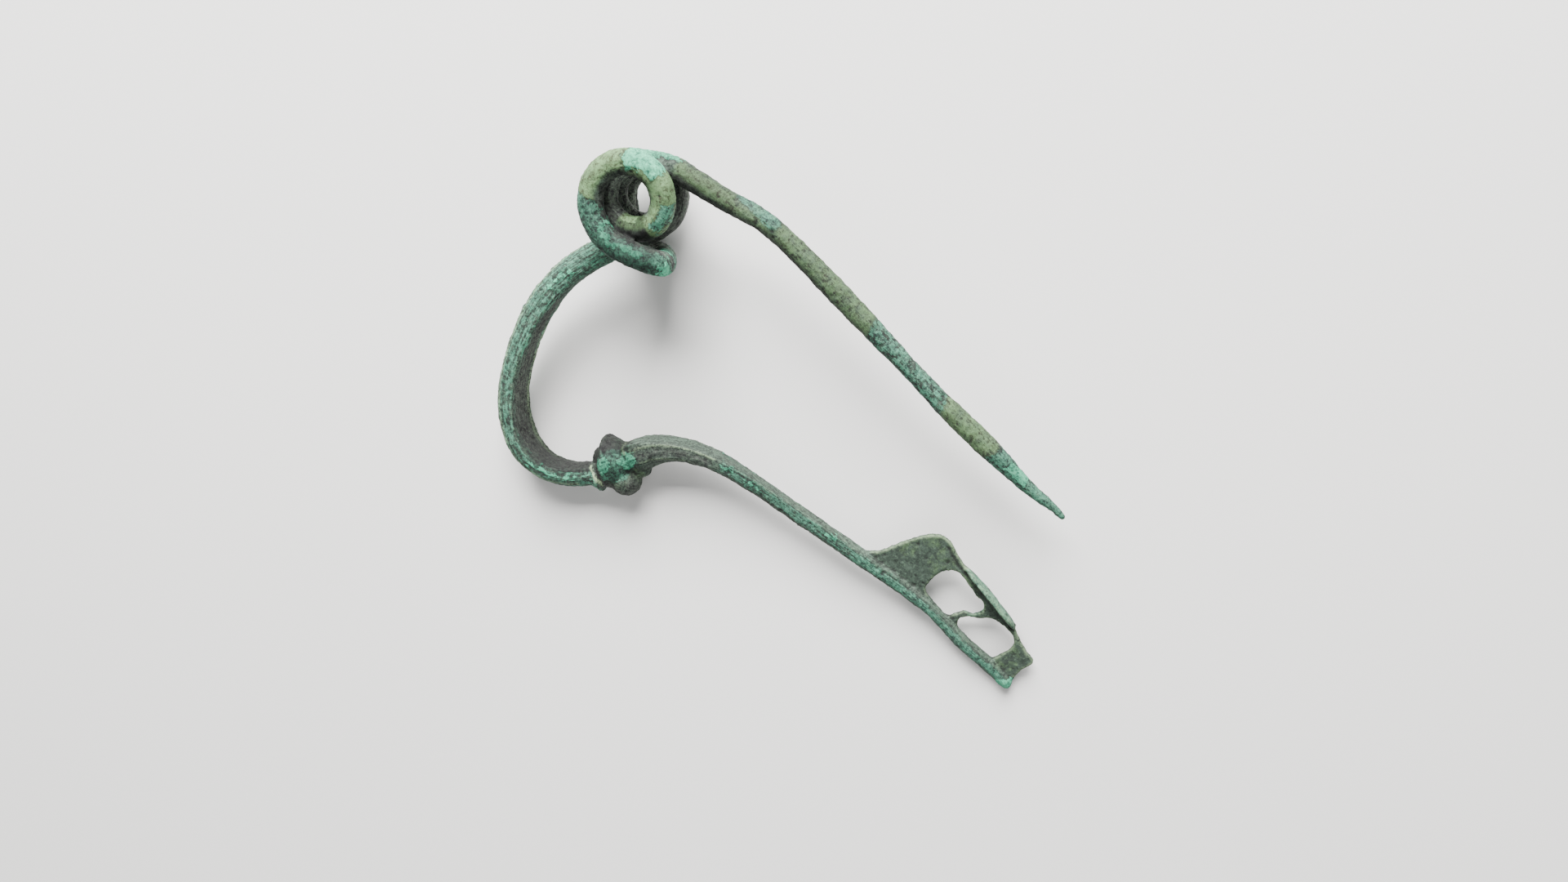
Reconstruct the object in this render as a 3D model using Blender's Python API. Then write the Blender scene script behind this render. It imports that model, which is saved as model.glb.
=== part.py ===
# A spring brooch in cast and drawn bronze, made from one bar of metal.
# The bar runs from the foot through the stem, the knob and the arched bow into the spring, crosses under the
# spring as a chord, winds back through two more turns and ends as the pin.
# Lengths are in millimetres and angles in degrees, with the brooch flat in X and Y and its near side at +Z.
# At the end the brooch is laid on its far side, as it rests when it is loose, and becomes metres.
import math

import bmesh
import bpy
from mathutils import Matrix, Quaternion, Vector

METRES = 0.001
TURN = 360.0

# The main sizes, from the spring's middle: to the foot's tip, to the bow's crest, and up to the pin's tip
LENGTH = 76.2
BOW_HEIGHT = 33.75
PIN_RISE = 18.5

# The spring
WIRE = 3.1
TURN_GAP = 0.15
PITCH = WIRE + TURN_GAP
NEAR_RADIUS = 4.15
NEAR_CENTRE = (0.024 * NEAR_RADIUS, -0.019 * NEAR_RADIUS)
FAR_RADIUS = 3.55
FAR_OFFSET = (0.012 * NEAR_RADIUS, -0.193 * NEAR_RADIUS)
BOW_JOINS_AT = -14.0
PIN_LEAVES_AT = 122.0
LEG_JOINS_AT = 245.0
COIL_STEP = 24.0
NEAR_PLANE = 1.5 * PITCH
INNER_PLANE = 0.5 * PITCH

# The near turn starts wide, where the leg comes in, and drops to the inner plane between these wound angles
LEG_OPENING = 0.45
DIVE_FROM = LEG_JOINS_AT - PIN_LEAVES_AT
DIVE_TO = 345.0

# The far turns end this far before the place where the near leg joins
CHORD_LEAD = 15.0

# The bow
BOW_WIDTH = 5.8
BOW_THICKNESS = 2.7

# How far the slanting sides of the ridged outer face are drawn in, against a square corner
RIDGE_SLANT = 0.75

# The stem
STEM_ROOT_WIDTH = 4.3
STEM_WIDTH = 2.1
STEM_THICKNESS = 2.1
FOOT_RIB = 1.8

# The knob, on an axis that leans over the bow
KNOB_RADIUS = 3.5
KNOB_CENTRE = (0.3058 * LENGTH, -0.7407 * BOW_HEIGHT)
KNOB_AXIS = 57.0
KNOB_SIDES = 28
COLLAR_TILT = 8.0
COLLAR_SIDES = 20
COLLAR_RADIUS = 2.05
COLLAR_CENTRE = (0.315 * LENGTH, -0.8119 * BOW_HEIGHT)
LOBE_CENTRE = (0.3451 * LENGTH, -0.7333 * BOW_HEIGHT)
LOBE_RADIUS = 2.1
LOBE_SWELL = 1.1
LOBE_TILT = 20.0
LOBE_SIDES = 16

# The catch plate with its two windows and its gutter
PLATE = 0.8
GUTTER_HEIGHT = 2.3
GUTTER_WALL = 0.75
GUTTER_OUT = 0.45
GUTTER_BACK = 0.6
WINDOW_CUTTER = 4.0 * PLATE

# Steps along the bar: short ones where it turns by more than the straight limit, in radians
FINE_STEP = 1.2
LONG_STEP = 2.4
STRAIGHT_LIMIT = 0.12
OUTLINE_STEPS = 2

# A hull face looks down when it leans less than this cosine from straight down
LOOKS_DOWN = 0.8
SHARP_ANGLE = 40.0

BRONZE_COLOUR = (0.13, 0.22, 0.15, 1.0)
BRONZE_ROUGHNESS = 0.75
BRONZE_METALLIC = 0.15


def clear_scene():
    for item in list(bpy.data.objects):
        bpy.data.objects.remove(item, do_unlink=True)


# One station of the bar is x, y, z, its width across the brooch, its thickness in the brooch's plane, how flat
# its inner face is, and how ridged its outer face is. The tables give x in shares of the length, y in shares of
# the bow's height and z in shares of the wire
def stations_at(rows):
    return [(x * LENGTH, y * BOW_HEIGHT, z * WIRE, *sizes) for x, y, z, *sizes in rows]


def foot_and_stem():
    return stations_at([
        (1.0, -0.0015, 0.0, 0.209 * STEM_ROOT_WIDTH, 0.381 * STEM_THICKNESS, 0.0, 0.0),
        (0.9908, 0.0, 0.0, FOOT_RIB, 0.667 * STEM_THICKNESS, 0.3, 0.4),
        (0.9606, -0.0071, 0.0, FOOT_RIB, FOOT_RIB, 0.4, 0.5),
        (0.8911, -0.0421, 0.0, FOOT_RIB, FOOT_RIB, 0.4, 0.6),
        (0.8189, -0.0628, 0.0, FOOT_RIB, 0.81 * STEM_THICKNESS, 0.4, 0.6),
        (0.748, -0.1073, 0.0, FOOT_RIB, STEM_THICKNESS, 0.5, 0.7),
        (0.6575, -0.1807, 0.0, STEM_WIDTH, STEM_THICKNESS, 0.8, 0.8),
        (0.5958, -0.2311, 0.0, STEM_WIDTH, STEM_THICKNESS, 0.9, 0.9),
        (0.5341, -0.2815, 0.0, STEM_WIDTH, STEM_THICKNESS, 0.9, 0.9),
        (0.4711, -0.3333, 0.0, 0.605 * STEM_ROOT_WIDTH, STEM_THICKNESS, 0.9, 0.9),
        (0.416, -0.3896, 0.0, 0.744 * STEM_ROOT_WIDTH, 1.048 * STEM_THICKNESS, 0.9, 0.9),
        (0.3714, -0.4607, 0.0, 0.907 * STEM_ROOT_WIDTH, 1.19 * STEM_THICKNESS, 0.9, 0.9),
        (0.3425, -0.5422, 0.0, STEM_ROOT_WIDTH, 1.524 * STEM_THICKNESS, 0.9, 0.8),
        (0.3268, -0.6341, 0.0, STEM_ROOT_WIDTH, 2.048 * STEM_THICKNESS, 0.8, 0.5),
    ])


def bow():
    return stations_at([
        (0.3176, -0.7407, 0.0, 0.552 * BOW_WIDTH, 1.037 * BOW_THICKNESS, 0.3, 0.0),
        (0.3018, -0.8474, 0.0, 0.655 * BOW_WIDTH, 1.111 * BOW_THICKNESS, 0.5, 0.0),
        (0.2822, -0.9185, 0.0, 0.776 * BOW_WIDTH, 1.074 * BOW_THICKNESS, 0.7, 0.0),
        (0.252, -0.9748, 0.0, 0.879 * BOW_WIDTH, BOW_THICKNESS, 0.8, 0.0),
        (0.206, -1.0, 0.0, BOW_WIDTH, BOW_THICKNESS, 0.9, 0.0),
        (0.1444, -0.9526, 0.0, BOW_WIDTH, BOW_THICKNESS, 0.9, 0.0),
        (0.0945, -0.8474, 0.0, BOW_WIDTH, BOW_THICKNESS, 0.9, 0.0),
        (0.0564, -0.7111, 0.0, 0.966 * BOW_WIDTH, 1.037 * BOW_THICKNESS, 0.9, 0.0),
        (0.0282, -0.557, -0.065, 0.845 * BOW_WIDTH, 1.185 * BOW_THICKNESS, 0.8, 0.0),
        (0.0197, -0.4089, -0.161, 0.741 * BOW_WIDTH, 1.259 * BOW_THICKNESS, 0.5, 0.0),
        (0.0256, -0.2756, -0.29, 0.638 * BOW_WIDTH, 1.259 * BOW_THICKNESS, 0.2, 0.0),
        (0.0407, -0.1363, -0.355, 0.552 * BOW_WIDTH, 1.185 * BOW_THICKNESS, 0.0, 0.0),
    ])


def round_wire(x, y, z):
    return (x, y, z, WIRE, WIRE, 0.0, 0.0)


def ease(share):
    return share * share * (3.0 - 2.0 * share)


def blend(start, end, share):
    return start + (end - start) * share


# A value that goes through chosen pairs of angle and value
def value_at(angle, pairs):
    for (start, first), (end, second) in zip(pairs, pairs[1:]):
        if angle <= end:
            return blend(first, second, (angle - start) / (end - start))
    return pairs[-1][1]


# The two turns on the far side, wound from the bow towards the far end and growing tighter. The first turn
# passes behind the bow where it comes in, and the second lies behind the first. Depths are in shares of the
# pitch
def far_turns():
    last = LEG_JOINS_AT - CHORD_LEAD + TURN
    depths = [
        (BOW_JOINS_AT, -0.338), (60.0, -0.431), (106.0, -0.538), (180.0, -0.6), (225.0, -0.646), (250.0, -0.8),
        (275.0, -1.015), (300.0, -1.277), (326.0, -1.354), (BOW_JOINS_AT + TURN, -1.385),
        (106.0 + TURN, -1.538), (180.0 + TURN, -1.631), (last, -1.815),
    ]
    count = round((last - BOW_JOINS_AT) / COIL_STEP)
    stations = []
    for index in range(count + 1):
        angle = blend(BOW_JOINS_AT, last, index / count)
        tighter = min(1.0, (angle - BOW_JOINS_AT) / TURN)
        radius = blend(NEAR_RADIUS, FAR_RADIUS, tighter)
        x = FAR_OFFSET[0] * tighter + radius * math.cos(math.radians(angle))
        y = FAR_OFFSET[1] * tighter + radius * math.sin(math.radians(angle))
        stations.append(round_wire(x, y, PITCH * value_at(angle, depths)))
    return stations


# The chord leaves the far turn, crosses inside the bow and bends round into the near leg. Its places are in
# shares of the near radius, and its depths in shares of the pitch
def chord_and_leg():
    route = [
        (-0.024, -1.241, -2.015), (0.554, -1.422, -2.092), (1.06, -1.325, -1.969), (1.422, -1.084, -1.477),
        (1.687, -0.807, -0.738), (1.867, -0.627, 0.062), (1.952, -0.554, 0.646), (1.831, -0.566, 1.262),
        (1.47, -0.771, 1.5), (1.06, -1.012, 1.5), (0.53, -1.217, 1.5), (-0.048, -1.193, 1.5),
    ]
    return [round_wire(x * NEAR_RADIUS, y * NEAR_RADIUS, depth * PITCH) for x, y, depth in route]


# The near turn lies flat, and drops behind its own leg into the inner turn that ends in the pin. It is tighter
# where it drops
def near_turns():
    total = LEG_JOINS_AT + TURN - PIN_LEAVES_AT
    count = round(total / COIL_STEP)
    radii = [
        (0.0, NEAR_RADIUS + LEG_OPENING), (0.12 * total, NEAR_RADIUS), (0.38 * total, NEAR_RADIUS),
        (0.59 * total, 0.904 * NEAR_RADIUS), (0.76 * total, 0.94 * NEAR_RADIUS), (total, 0.976 * NEAR_RADIUS),
    ]
    stations = []
    for index in range(count + 1):
        wound = total * index / count
        dive = min(1.0, max(0.0, (wound - DIVE_FROM) / (DIVE_TO - DIVE_FROM)))
        depth = blend(NEAR_PLANE, INNER_PLANE, ease(dive))
        radius = value_at(wound, radii)
        angle = math.radians(LEG_JOINS_AT - wound)
        x = NEAR_CENTRE[0] + radius * math.cos(angle)
        y = NEAR_CENTRE[1] + radius * math.sin(angle)
        stations.append(round_wire(x, y, depth))
    return stations


# The pin's places are in shares of the length and of its rise, and its thickness in shares of the wire
def pin():
    route = [
        (0.0059, 0.3, 1.0), (0.0387, 0.3632, 0.919), (0.0925, 0.4562, 0.855), (0.1444, 0.5568, 0.839),
        (0.1759, 0.5973, 0.839), (0.2428, 0.6459, 0.855), (0.315, 0.6865, 0.887), (0.3845, 0.7232, 0.839),
        (0.4567, 0.7622, 0.742), (0.5302, 0.8, 0.774), (0.5643, 0.8216, 0.806), (0.6352, 0.873, 0.742),
        (0.6706, 0.8973, 0.613), (0.7087, 0.9216, 0.452), (0.7415, 0.9514, 0.355), (0.7703, 0.9838, 0.258),
        (0.79, 0.9989, 0.194), (0.794, 1.0016, 0.097),
    ]
    stations = []
    for x, y, thickness in route:
        size = thickness * WIRE
        stations.append((x * LENGTH, y * PIN_RISE, INNER_PLANE, size, size, 0.0, 0.0))
    return stations


# A smooth curve through the stations, with short steps where the bar bends
def smooth(stations):
    rows = [Vector(row) for row in stations]
    rows = [rows[0] * 2.0 - rows[1]] + rows + [rows[-1] * 2.0 - rows[-2]]
    path = []
    for index in range(1, len(rows) - 2):
        before, start, end, after = rows[index - 1:index + 3]
        length = (end.xyz - start.xyz).length
        straight = (start.xyz - before.xyz).angle(end.xyz - start.xyz) < STRAIGHT_LIMIT
        count = max(1, round(length / (LONG_STEP if straight else FINE_STEP)))
        for part in range(count):
            path.append(knot_point(before, start, end, after, part / count))
    path.append(rows[-2])
    return path


def knot_point(before, start, end, after, share):
    first = (start.xyz - before.xyz).length ** 0.5
    middle = (end.xyz - start.xyz).length ** 0.5
    last = (after.xyz - end.xyz).length ** 0.5
    leave = (start - before) / first - (end - before) / (first + middle) + (end - start) / middle
    arrive = (end - start) / middle - (after - start) / (middle + last) + (after - end) / last
    square = share * share
    cube = square * share
    point = start * (2 * cube - 3 * square + 1) + end * (3 * square - 2 * cube)
    return point + (leave * (cube - 2 * square + share) + arrive * (cube - square)) * middle


# The outline of the bar's section: a circle that can have a flat inner face and a ridged outer face
def section(width, thickness, flat, ridge):
    corners = [90.0, 67.5, 45.0, 22.5, 0.0, -18.4, -45.0, -71.6, -90.0]
    angles = corners + [180.0 - corner for corner in corners[-2:0:-1]]
    outline = []
    for angle in angles:
        across = math.cos(math.radians(angle))
        inward = math.sin(math.radians(angle))
        if inward >= 0.0:
            reach = blend(1.0, 1.0 / max(abs(across), inward), flat)
        else:
            slant = RIDGE_SLANT * (abs(across) - inward)
            reach = blend(1.0, 1.0 / max(abs(across), slant, -inward), ridge)
        outline.append((0.5 * width * reach * across, 0.5 * thickness * reach * inward))
    return outline


def add_mesh(name, mesh):
    shape = bpy.data.objects.new(name, mesh)
    bpy.context.collection.objects.link(shape)
    return shape


def finish_mesh(name, build):
    build.normal_update()
    bmesh.ops.recalc_face_normals(build, faces=build.faces[:])
    mesh = bpy.data.meshes.new(name)
    build.to_mesh(mesh)
    build.free()
    return add_mesh(name, mesh)


def join_rings(build, rings):
    for first, second in zip(rings, rings[1:]):
        for side in range(len(first)):
            after = (side + 1) % len(first)
            build.faces.new((first[side], first[after], second[after], second[side]))
    for ring in (rings[0], rings[-1]):
        build.faces.new(ring)


# The bar: sections joined along the whole path. The across direction is carried along without twisting
def bar():
    path = smooth(foot_and_stem() + bow() + far_turns() + chord_and_leg() + near_turns() + pin())
    build = bmesh.new()
    rings = []
    across = Vector((0.0, 0.0, 1.0))
    for index, row in enumerate(path):
        ahead = path[min(index + 1, len(path) - 1)].xyz
        behind = path[max(index - 1, 0)].xyz
        along = (ahead - behind).normalized()
        across = (across - along * across.dot(along)).normalized()
        inward = along.cross(across)
        ring = []
        for side, inner in section(row[3], row[4], row[5], row[6]):
            ring.append(build.verts.new(row.xyz + across * side + inward * inner))
        rings.append(ring)
    join_rings(build, rings)
    return finish_mesh("bar", build)


# A turned form: radii at places along an axis that leans in the plane of the brooch, in shares of its radius
def turned(name, profile, size, centre, axis_angle, sides):
    build = bmesh.new()
    axis = Vector((math.cos(math.radians(axis_angle)), math.sin(math.radians(axis_angle)), 0.0))
    side_way = Vector((-axis.y, axis.x, 0.0))
    middle = Vector((*centre, 0.0))
    rings = []
    for along, radius in profile:
        ring = []
        for index in range(sides):
            angle = math.tau * index / sides
            out = side_way * math.cos(angle) + Vector((0.0, 0.0, 1.0)) * math.sin(angle)
            ring.append(build.verts.new(middle + (axis * along + out * radius) * size))
        rings.append(ring)
    join_rings(build, rings)
    return finish_mesh(name, build)


# The profiles of the knob and of the collar are in shares of their radius
def knob():
    profile = [
        (-0.514, 0.5), (-0.343, 0.6), (-0.2, 0.78), (-0.114, 0.96), (0.0, 1.0), (0.114, 0.98),
        (0.4, 0.82), (0.714, 0.66), (1.029, 0.45),
    ]
    return turned("knob", profile, KNOB_RADIUS, KNOB_CENTRE, KNOB_AXIS, KNOB_SIDES)


def collar():
    profile = [(-0.59, 0.6), (-0.29, 0.85), (-0.1, 1.0), (0.1, 1.0), (0.29, 0.8), (0.73, 0.7)]
    return turned("collar", profile, COLLAR_RADIUS, COLLAR_CENTRE, KNOB_AXIS + COLLAR_TILT, COLLAR_SIDES)


def lobe():
    steps = LOBE_SIDES // 2
    profile = []
    for index in range(1, steps):
        angle = math.pi * index / steps
        profile.append((-math.cos(angle), LOBE_SWELL * math.sin(angle)))
    return turned("lobe", profile, LOBE_RADIUS, LOBE_CENTRE, KNOB_AXIS + LOBE_TILT, LOBE_SIDES)


# A flat plate of even thickness with a smooth outline
def slab(name, outline, thickness):
    build = bmesh.new()
    count = len(outline)
    corners = [Vector((x * LENGTH, y * BOW_HEIGHT, 0.0)) for x, y in outline]
    points = []
    for index in range(count):
        before, start, end, after = (corners[(index + shift) % count] for shift in (-1, 0, 1, 2))
        for part in range(OUTLINE_STEPS):
            points.append(knot_point(before, start, end, after, part / OUTLINE_STEPS))
    lower = [build.verts.new((point.x, point.y, -0.5 * thickness)) for point in points]
    face = build.faces.new(lower)
    extruded = bmesh.ops.extrude_face_region(build, geom=[face])
    for item in extruded["geom"]:
        if isinstance(item, bmesh.types.BMVert):
            item.co.z += thickness
    return finish_mesh(name, build)


# The plate's outlines are in shares of the length and of the bow's height, as the stem's places are
def catch_plate():
    return slab("catch_plate", [
        (0.6627, -0.1748), (0.685, -0.0919), (0.6955, 0.0178), (0.7047, 0.0919), (0.7178, 0.1393),
        (0.7349, 0.1556), (0.7638, 0.1481), (0.79, 0.1467), (0.8333, 0.16), (0.8793, 0.163),
        (0.9108, 0.16), (0.9344, 0.1481), (0.9633, 0.1393), (0.9816, 0.1393), (0.9843, 0.083),
        (0.9895, 0.0385), (0.9974, 0.0089), (0.9606, -0.0089), (0.8911, -0.0385), (0.8189, -0.0681),
        (0.748, -0.1096),
    ], PLATE)


def windows():
    near_stem = [
        (0.7822, -0.0296), (0.773, 0.0163), (0.773, 0.0741), (0.7848, 0.1081), (0.811, 0.1141),
        (0.8346, 0.1111), (0.8517, 0.117), (0.8629, 0.0993), (0.8596, 0.0622), (0.8478, 0.0385),
        (0.8438, 0.0059), (0.8386, -0.0267), (0.8163, -0.0341),
    ]
    near_foot = [
        (0.8556, 0.0059), (0.8589, 0.037), (0.8707, 0.0667), (0.8806, 0.1052), (0.899, 0.1259),
        (0.9265, 0.1319), (0.9396, 0.1141), (0.9436, 0.0593), (0.9409, 0.0089), (0.9304, -0.0059),
        (0.895, -0.0133), (0.8661, -0.0178),
    ]
    return [slab("window_by_stem", near_stem, WINDOW_CUTTER), slab("window_by_foot", near_foot, WINDOW_CUTTER)]


# The gutter: the plate's upper edge folded up towards the near side and curled back over the plate
def gutter():
    runs = [
        (0.7874, 0.1452, 0.35), (0.8031, 0.1511, 0.8), (0.8294, 0.1585, 1.0), (0.8727, 0.1615, 1.0),
        (0.8976, 0.1615, 0.8), (0.9147, 0.157, 0.35),
    ]
    build = bmesh.new()
    rings = []
    for x, y, share in runs:
        edge = y * BOW_HEIGHT
        height = GUTTER_HEIGHT * share
        root = 0.4 * PLATE
        lip = 0.95 * height - min(GUTTER_WALL, 0.3 * height)
        outside = edge + GUTTER_OUT
        inside = outside - GUTTER_WALL
        back = edge - GUTTER_BACK
        fold = [
            (back, -root), (edge + 0.2 * GUTTER_OUT, -root), (outside, 0.35 * height),
            (edge + 0.7 * GUTTER_OUT, 0.85 * height), (edge - 0.2 * GUTTER_OUT, height),
            (back, 0.95 * height), (back, lip), (inside, 0.95 * lip),
            (inside, blend(root, lip, 0.3)), (back, root),
        ]
        rings.append([build.verts.new((x * LENGTH, side, up)) for side, up in fold])
    join_rings(build, rings)
    return finish_mesh("gutter", build)


def cut_or_join(target, other, operation):
    step = target.modifiers.new(other.name, "BOOLEAN")
    step.operation = operation
    step.solver = "EXACT"
    step.object = other
    bpy.context.view_layer.update()
    evaluated = target.evaluated_get(bpy.context.evaluated_depsgraph_get())
    mesh = bpy.data.meshes.new_from_object(evaluated)
    target.modifiers.clear()
    target.data = mesh
    bpy.data.objects.remove(other, do_unlink=True)


# The turn that lays the brooch on its far side: the face of its hull that carries its weight goes down
def lying_turn(mesh):
    solid = bmesh.new()
    solid.from_mesh(mesh)
    centre = weight_centre(solid)
    solid.free()
    hull = bmesh.new()
    for vert in mesh.vertices:
        hull.verts.new(vert.co)
    bmesh.ops.convex_hull(hull, input=hull.verts[:])
    hull.normal_update()
    down = Vector((0.0, 0.0, -1.0))
    turn = Quaternion()
    for face in hull.faces:
        if face.normal.dot(down) > LOOKS_DOWN and face_carries(face, centre):
            turn = face.normal.rotation_difference(down)
    hull.free()
    return turn


# Whether a weight at the point would press inside the face
def face_carries(face, point):
    corners = [vert.co for vert in face.verts]
    for first, second in zip(corners, corners[1:] + corners[:1]):
        if (second - first).cross(point - first).dot(face.normal) < 0.0:
            return False
    return True


def weight_centre(build):
    moment = Vector()
    volume = 0.0
    for loops in build.calc_loop_triangles():
        a, b, c = (loop.vert.co for loop in loops)
        part = a.dot(b.cross(c)) / 6.0
        moment += (a + b + c) * part / 4.0
        volume += part
    return moment / volume


def lay_down(shape):
    mesh = shape.data
    mesh.transform(lying_turn(mesh).to_matrix().to_4x4())
    low = Vector([min(vert.co[axis] for vert in mesh.vertices) for axis in range(3)])
    high = Vector([max(vert.co[axis] for vert in mesh.vertices) for axis in range(3)])
    bottom_centre = Vector(((low.x + high.x) / 2.0, (low.y + high.y) / 2.0, low.z))
    mesh.transform(Matrix.Translation(-bottom_centre))
    mesh.transform(Matrix.Scale(METRES, 4))


def bronze():
    material = bpy.data.materials.new("green_bronze")
    material.use_nodes = True
    shader = material.node_tree.nodes["Principled BSDF"]
    shader.inputs["Base Color"].default_value = BRONZE_COLOUR
    shader.inputs["Roughness"].default_value = BRONZE_ROUGHNESS
    shader.inputs["Metallic"].default_value = BRONZE_METALLIC
    return material


def fibula():
    plate = catch_plate()
    for opening in windows():
        cut_or_join(plate, opening, "DIFFERENCE")
    cut_or_join(plate, gutter(), "UNION")
    body = bar()
    for piece in (knob(), collar(), lobe(), plate):
        cut_or_join(body, piece, "UNION")
    lay_down(body)
    body.name = "fibula"
    body.data.materials.clear()
    body.data.materials.append(bronze())
    body.data.shade_smooth()
    body.data.set_sharp_from_angle(angle=math.radians(SHARP_ANGLE))
    return body


clear_scene()
fibula()
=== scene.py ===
# %% [markdown]
# A spring brooch of green bronze, from a single bar
#
# The brooch was cast as a short bar, then hammered, bent and wound. The metal starts at the foot, runs
# along the stem and through a knob into the high bow, winds into a spring of four turns and ends as the
# pin. Two thousand years in the ground gave it a skin of copper salts: mint crusts, smooth olive and
# purple-brown metal.
#
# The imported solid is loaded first. It fixes the size, the place and the way that the brooch lies.

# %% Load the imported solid
import math

import bmesh
import bpy
import numpy as np
from mathutils import Matrix, Quaternion, Vector, kdtree


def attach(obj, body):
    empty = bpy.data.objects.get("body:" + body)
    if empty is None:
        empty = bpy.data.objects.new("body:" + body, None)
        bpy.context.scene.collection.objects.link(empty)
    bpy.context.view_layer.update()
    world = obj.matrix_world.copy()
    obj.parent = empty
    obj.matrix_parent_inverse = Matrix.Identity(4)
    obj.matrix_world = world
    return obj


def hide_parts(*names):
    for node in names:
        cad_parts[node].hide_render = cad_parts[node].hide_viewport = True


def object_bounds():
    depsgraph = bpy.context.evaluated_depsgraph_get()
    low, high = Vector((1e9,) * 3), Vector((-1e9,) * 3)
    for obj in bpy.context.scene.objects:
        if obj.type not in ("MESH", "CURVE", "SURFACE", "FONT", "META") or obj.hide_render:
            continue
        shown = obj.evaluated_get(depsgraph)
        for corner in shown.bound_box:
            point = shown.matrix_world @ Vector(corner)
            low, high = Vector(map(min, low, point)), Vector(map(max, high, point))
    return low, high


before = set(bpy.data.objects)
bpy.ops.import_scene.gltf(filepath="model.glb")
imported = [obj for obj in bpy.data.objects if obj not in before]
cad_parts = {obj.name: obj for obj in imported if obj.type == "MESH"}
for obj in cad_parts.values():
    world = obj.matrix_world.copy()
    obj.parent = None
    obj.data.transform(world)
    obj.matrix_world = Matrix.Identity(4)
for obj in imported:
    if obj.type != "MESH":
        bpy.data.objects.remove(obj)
solid_box = [list(corner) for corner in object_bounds()]
print("solid box in metres:", solid_box)

# %% [markdown]
# The brooch is drawn standing, as a maker would draw it: X runs from the spring to the foot, Y from the bow
# to the pin, and Z out of the near side. Lengths are in millimetres. The same named sizes drive the solid,
# so the fine skin made here has the solid's form.

# %% The named sizes
METRES = 0.001
TURN = 360.0

LENGTH = 76.2
BOW_HEIGHT = 33.75
PIN_RISE = 18.5

WIRE = 3.1
TURN_GAP = 0.15
PITCH = WIRE + TURN_GAP
NEAR_RADIUS = 4.15
NEAR_CENTRE = (0.024 * NEAR_RADIUS, -0.019 * NEAR_RADIUS)
FAR_RADIUS = 3.55
FAR_OFFSET = (0.012 * NEAR_RADIUS, -0.193 * NEAR_RADIUS)
BOW_JOINS_AT = -14.0
PIN_LEAVES_AT = 122.0
LEG_JOINS_AT = 245.0
COIL_STEP = 24.0
NEAR_PLANE = 1.5 * PITCH
INNER_PLANE = 0.5 * PITCH
LEG_OPENING = 0.45
DIVE_FROM = LEG_JOINS_AT - PIN_LEAVES_AT
DIVE_TO = 345.0
CHORD_LEAD = 15.0

BOW_WIDTH = 5.8
BOW_THICKNESS = 2.7
RIDGE_SLANT = 0.75
STEM_ROOT_WIDTH = 4.3
STEM_WIDTH = 2.1
STEM_THICKNESS = 2.1
FOOT_RIB = 1.8

KNOB_RADIUS = 3.5
KNOB_CENTRE = (0.3058 * LENGTH, -0.7407 * BOW_HEIGHT)
KNOB_AXIS = 57.0
COLLAR_RADIUS = 2.05
COLLAR_CENTRE = (0.315 * LENGTH, -0.8119 * BOW_HEIGHT)
COLLAR_TILT = 8.0
LOBE_RADIUS = 2.1
LOBE_CENTRE = (0.3451 * LENGTH, -0.7333 * BOW_HEIGHT)
LOBE_SWELL = 1.1
LOBE_TILT = 20.0

PLATE = 0.8
GUTTER_HEIGHT = 2.3
GUTTER_WALL = 0.75
GUTTER_OUT = 0.45
GUTTER_BACK = 0.6

# %% [markdown]
# When it is loose the brooch lies on its far side, on the spring's far turn, the knob and the foot: one
# turn about a slanting axis, then a shift that brings the bottom centre of its box to the origin.

# %% How the brooch lies
LYING_TURN = Quaternion(Vector((0.7548, 0.6560, 0.0)), math.radians(9.7415))
BOTTOM_CENTRE = Vector((35.0808, -7.9512, -9.2687))
LYING = Matrix.Scale(METRES, 4) @ Matrix.Translation(-BOTTOM_CENTRE) @ LYING_TURN.to_matrix().to_4x4()
print("a place at the spring's middle lies at", tuple(round(v, 5) for v in LYING @ Vector()))

# %% [markdown]
# The path of the bar is a list of stations. Each has a place, a width across the brooch, a thickness, and
# how flat its inner face and how ridged its outer face is. The foot, the stem and the bow come first.

# %% The foot, the stem and the bow
def stations_at(rows):
    return [(x * LENGTH, y * BOW_HEIGHT, z * WIRE, *sizes) for x, y, z, *sizes in rows]


def foot_and_stem():
    root, thick = STEM_ROOT_WIDTH, STEM_THICKNESS
    return stations_at([
        (1.0, -0.0015, 0.0, 0.209 * root, 0.381 * thick, 0.0, 0.0),
        (0.9908, 0.0, 0.0, FOOT_RIB, 0.667 * thick, 0.3, 0.4),
        (0.9606, -0.0071, 0.0, FOOT_RIB, FOOT_RIB, 0.4, 0.5),
        (0.8911, -0.0421, 0.0, FOOT_RIB, FOOT_RIB, 0.4, 0.6),
        (0.8189, -0.0628, 0.0, FOOT_RIB, 0.81 * thick, 0.4, 0.6),
        (0.748, -0.1073, 0.0, FOOT_RIB, thick, 0.5, 0.7),
        (0.6575, -0.1807, 0.0, STEM_WIDTH, thick, 0.8, 0.8),
        (0.5958, -0.2311, 0.0, STEM_WIDTH, thick, 0.9, 0.9),
        (0.5341, -0.2815, 0.0, STEM_WIDTH, thick, 0.9, 0.9),
        (0.4711, -0.3333, 0.0, 0.605 * root, thick, 0.9, 0.9),
        (0.416, -0.3896, 0.0, 0.744 * root, 1.048 * thick, 0.9, 0.9),
        (0.3714, -0.4607, 0.0, 0.907 * root, 1.19 * thick, 0.9, 0.9),
        (0.3425, -0.5422, 0.0, root, 1.524 * thick, 0.9, 0.8),
        (0.3268, -0.6341, 0.0, root, 2.048 * thick, 0.8, 0.5),
    ])


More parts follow.
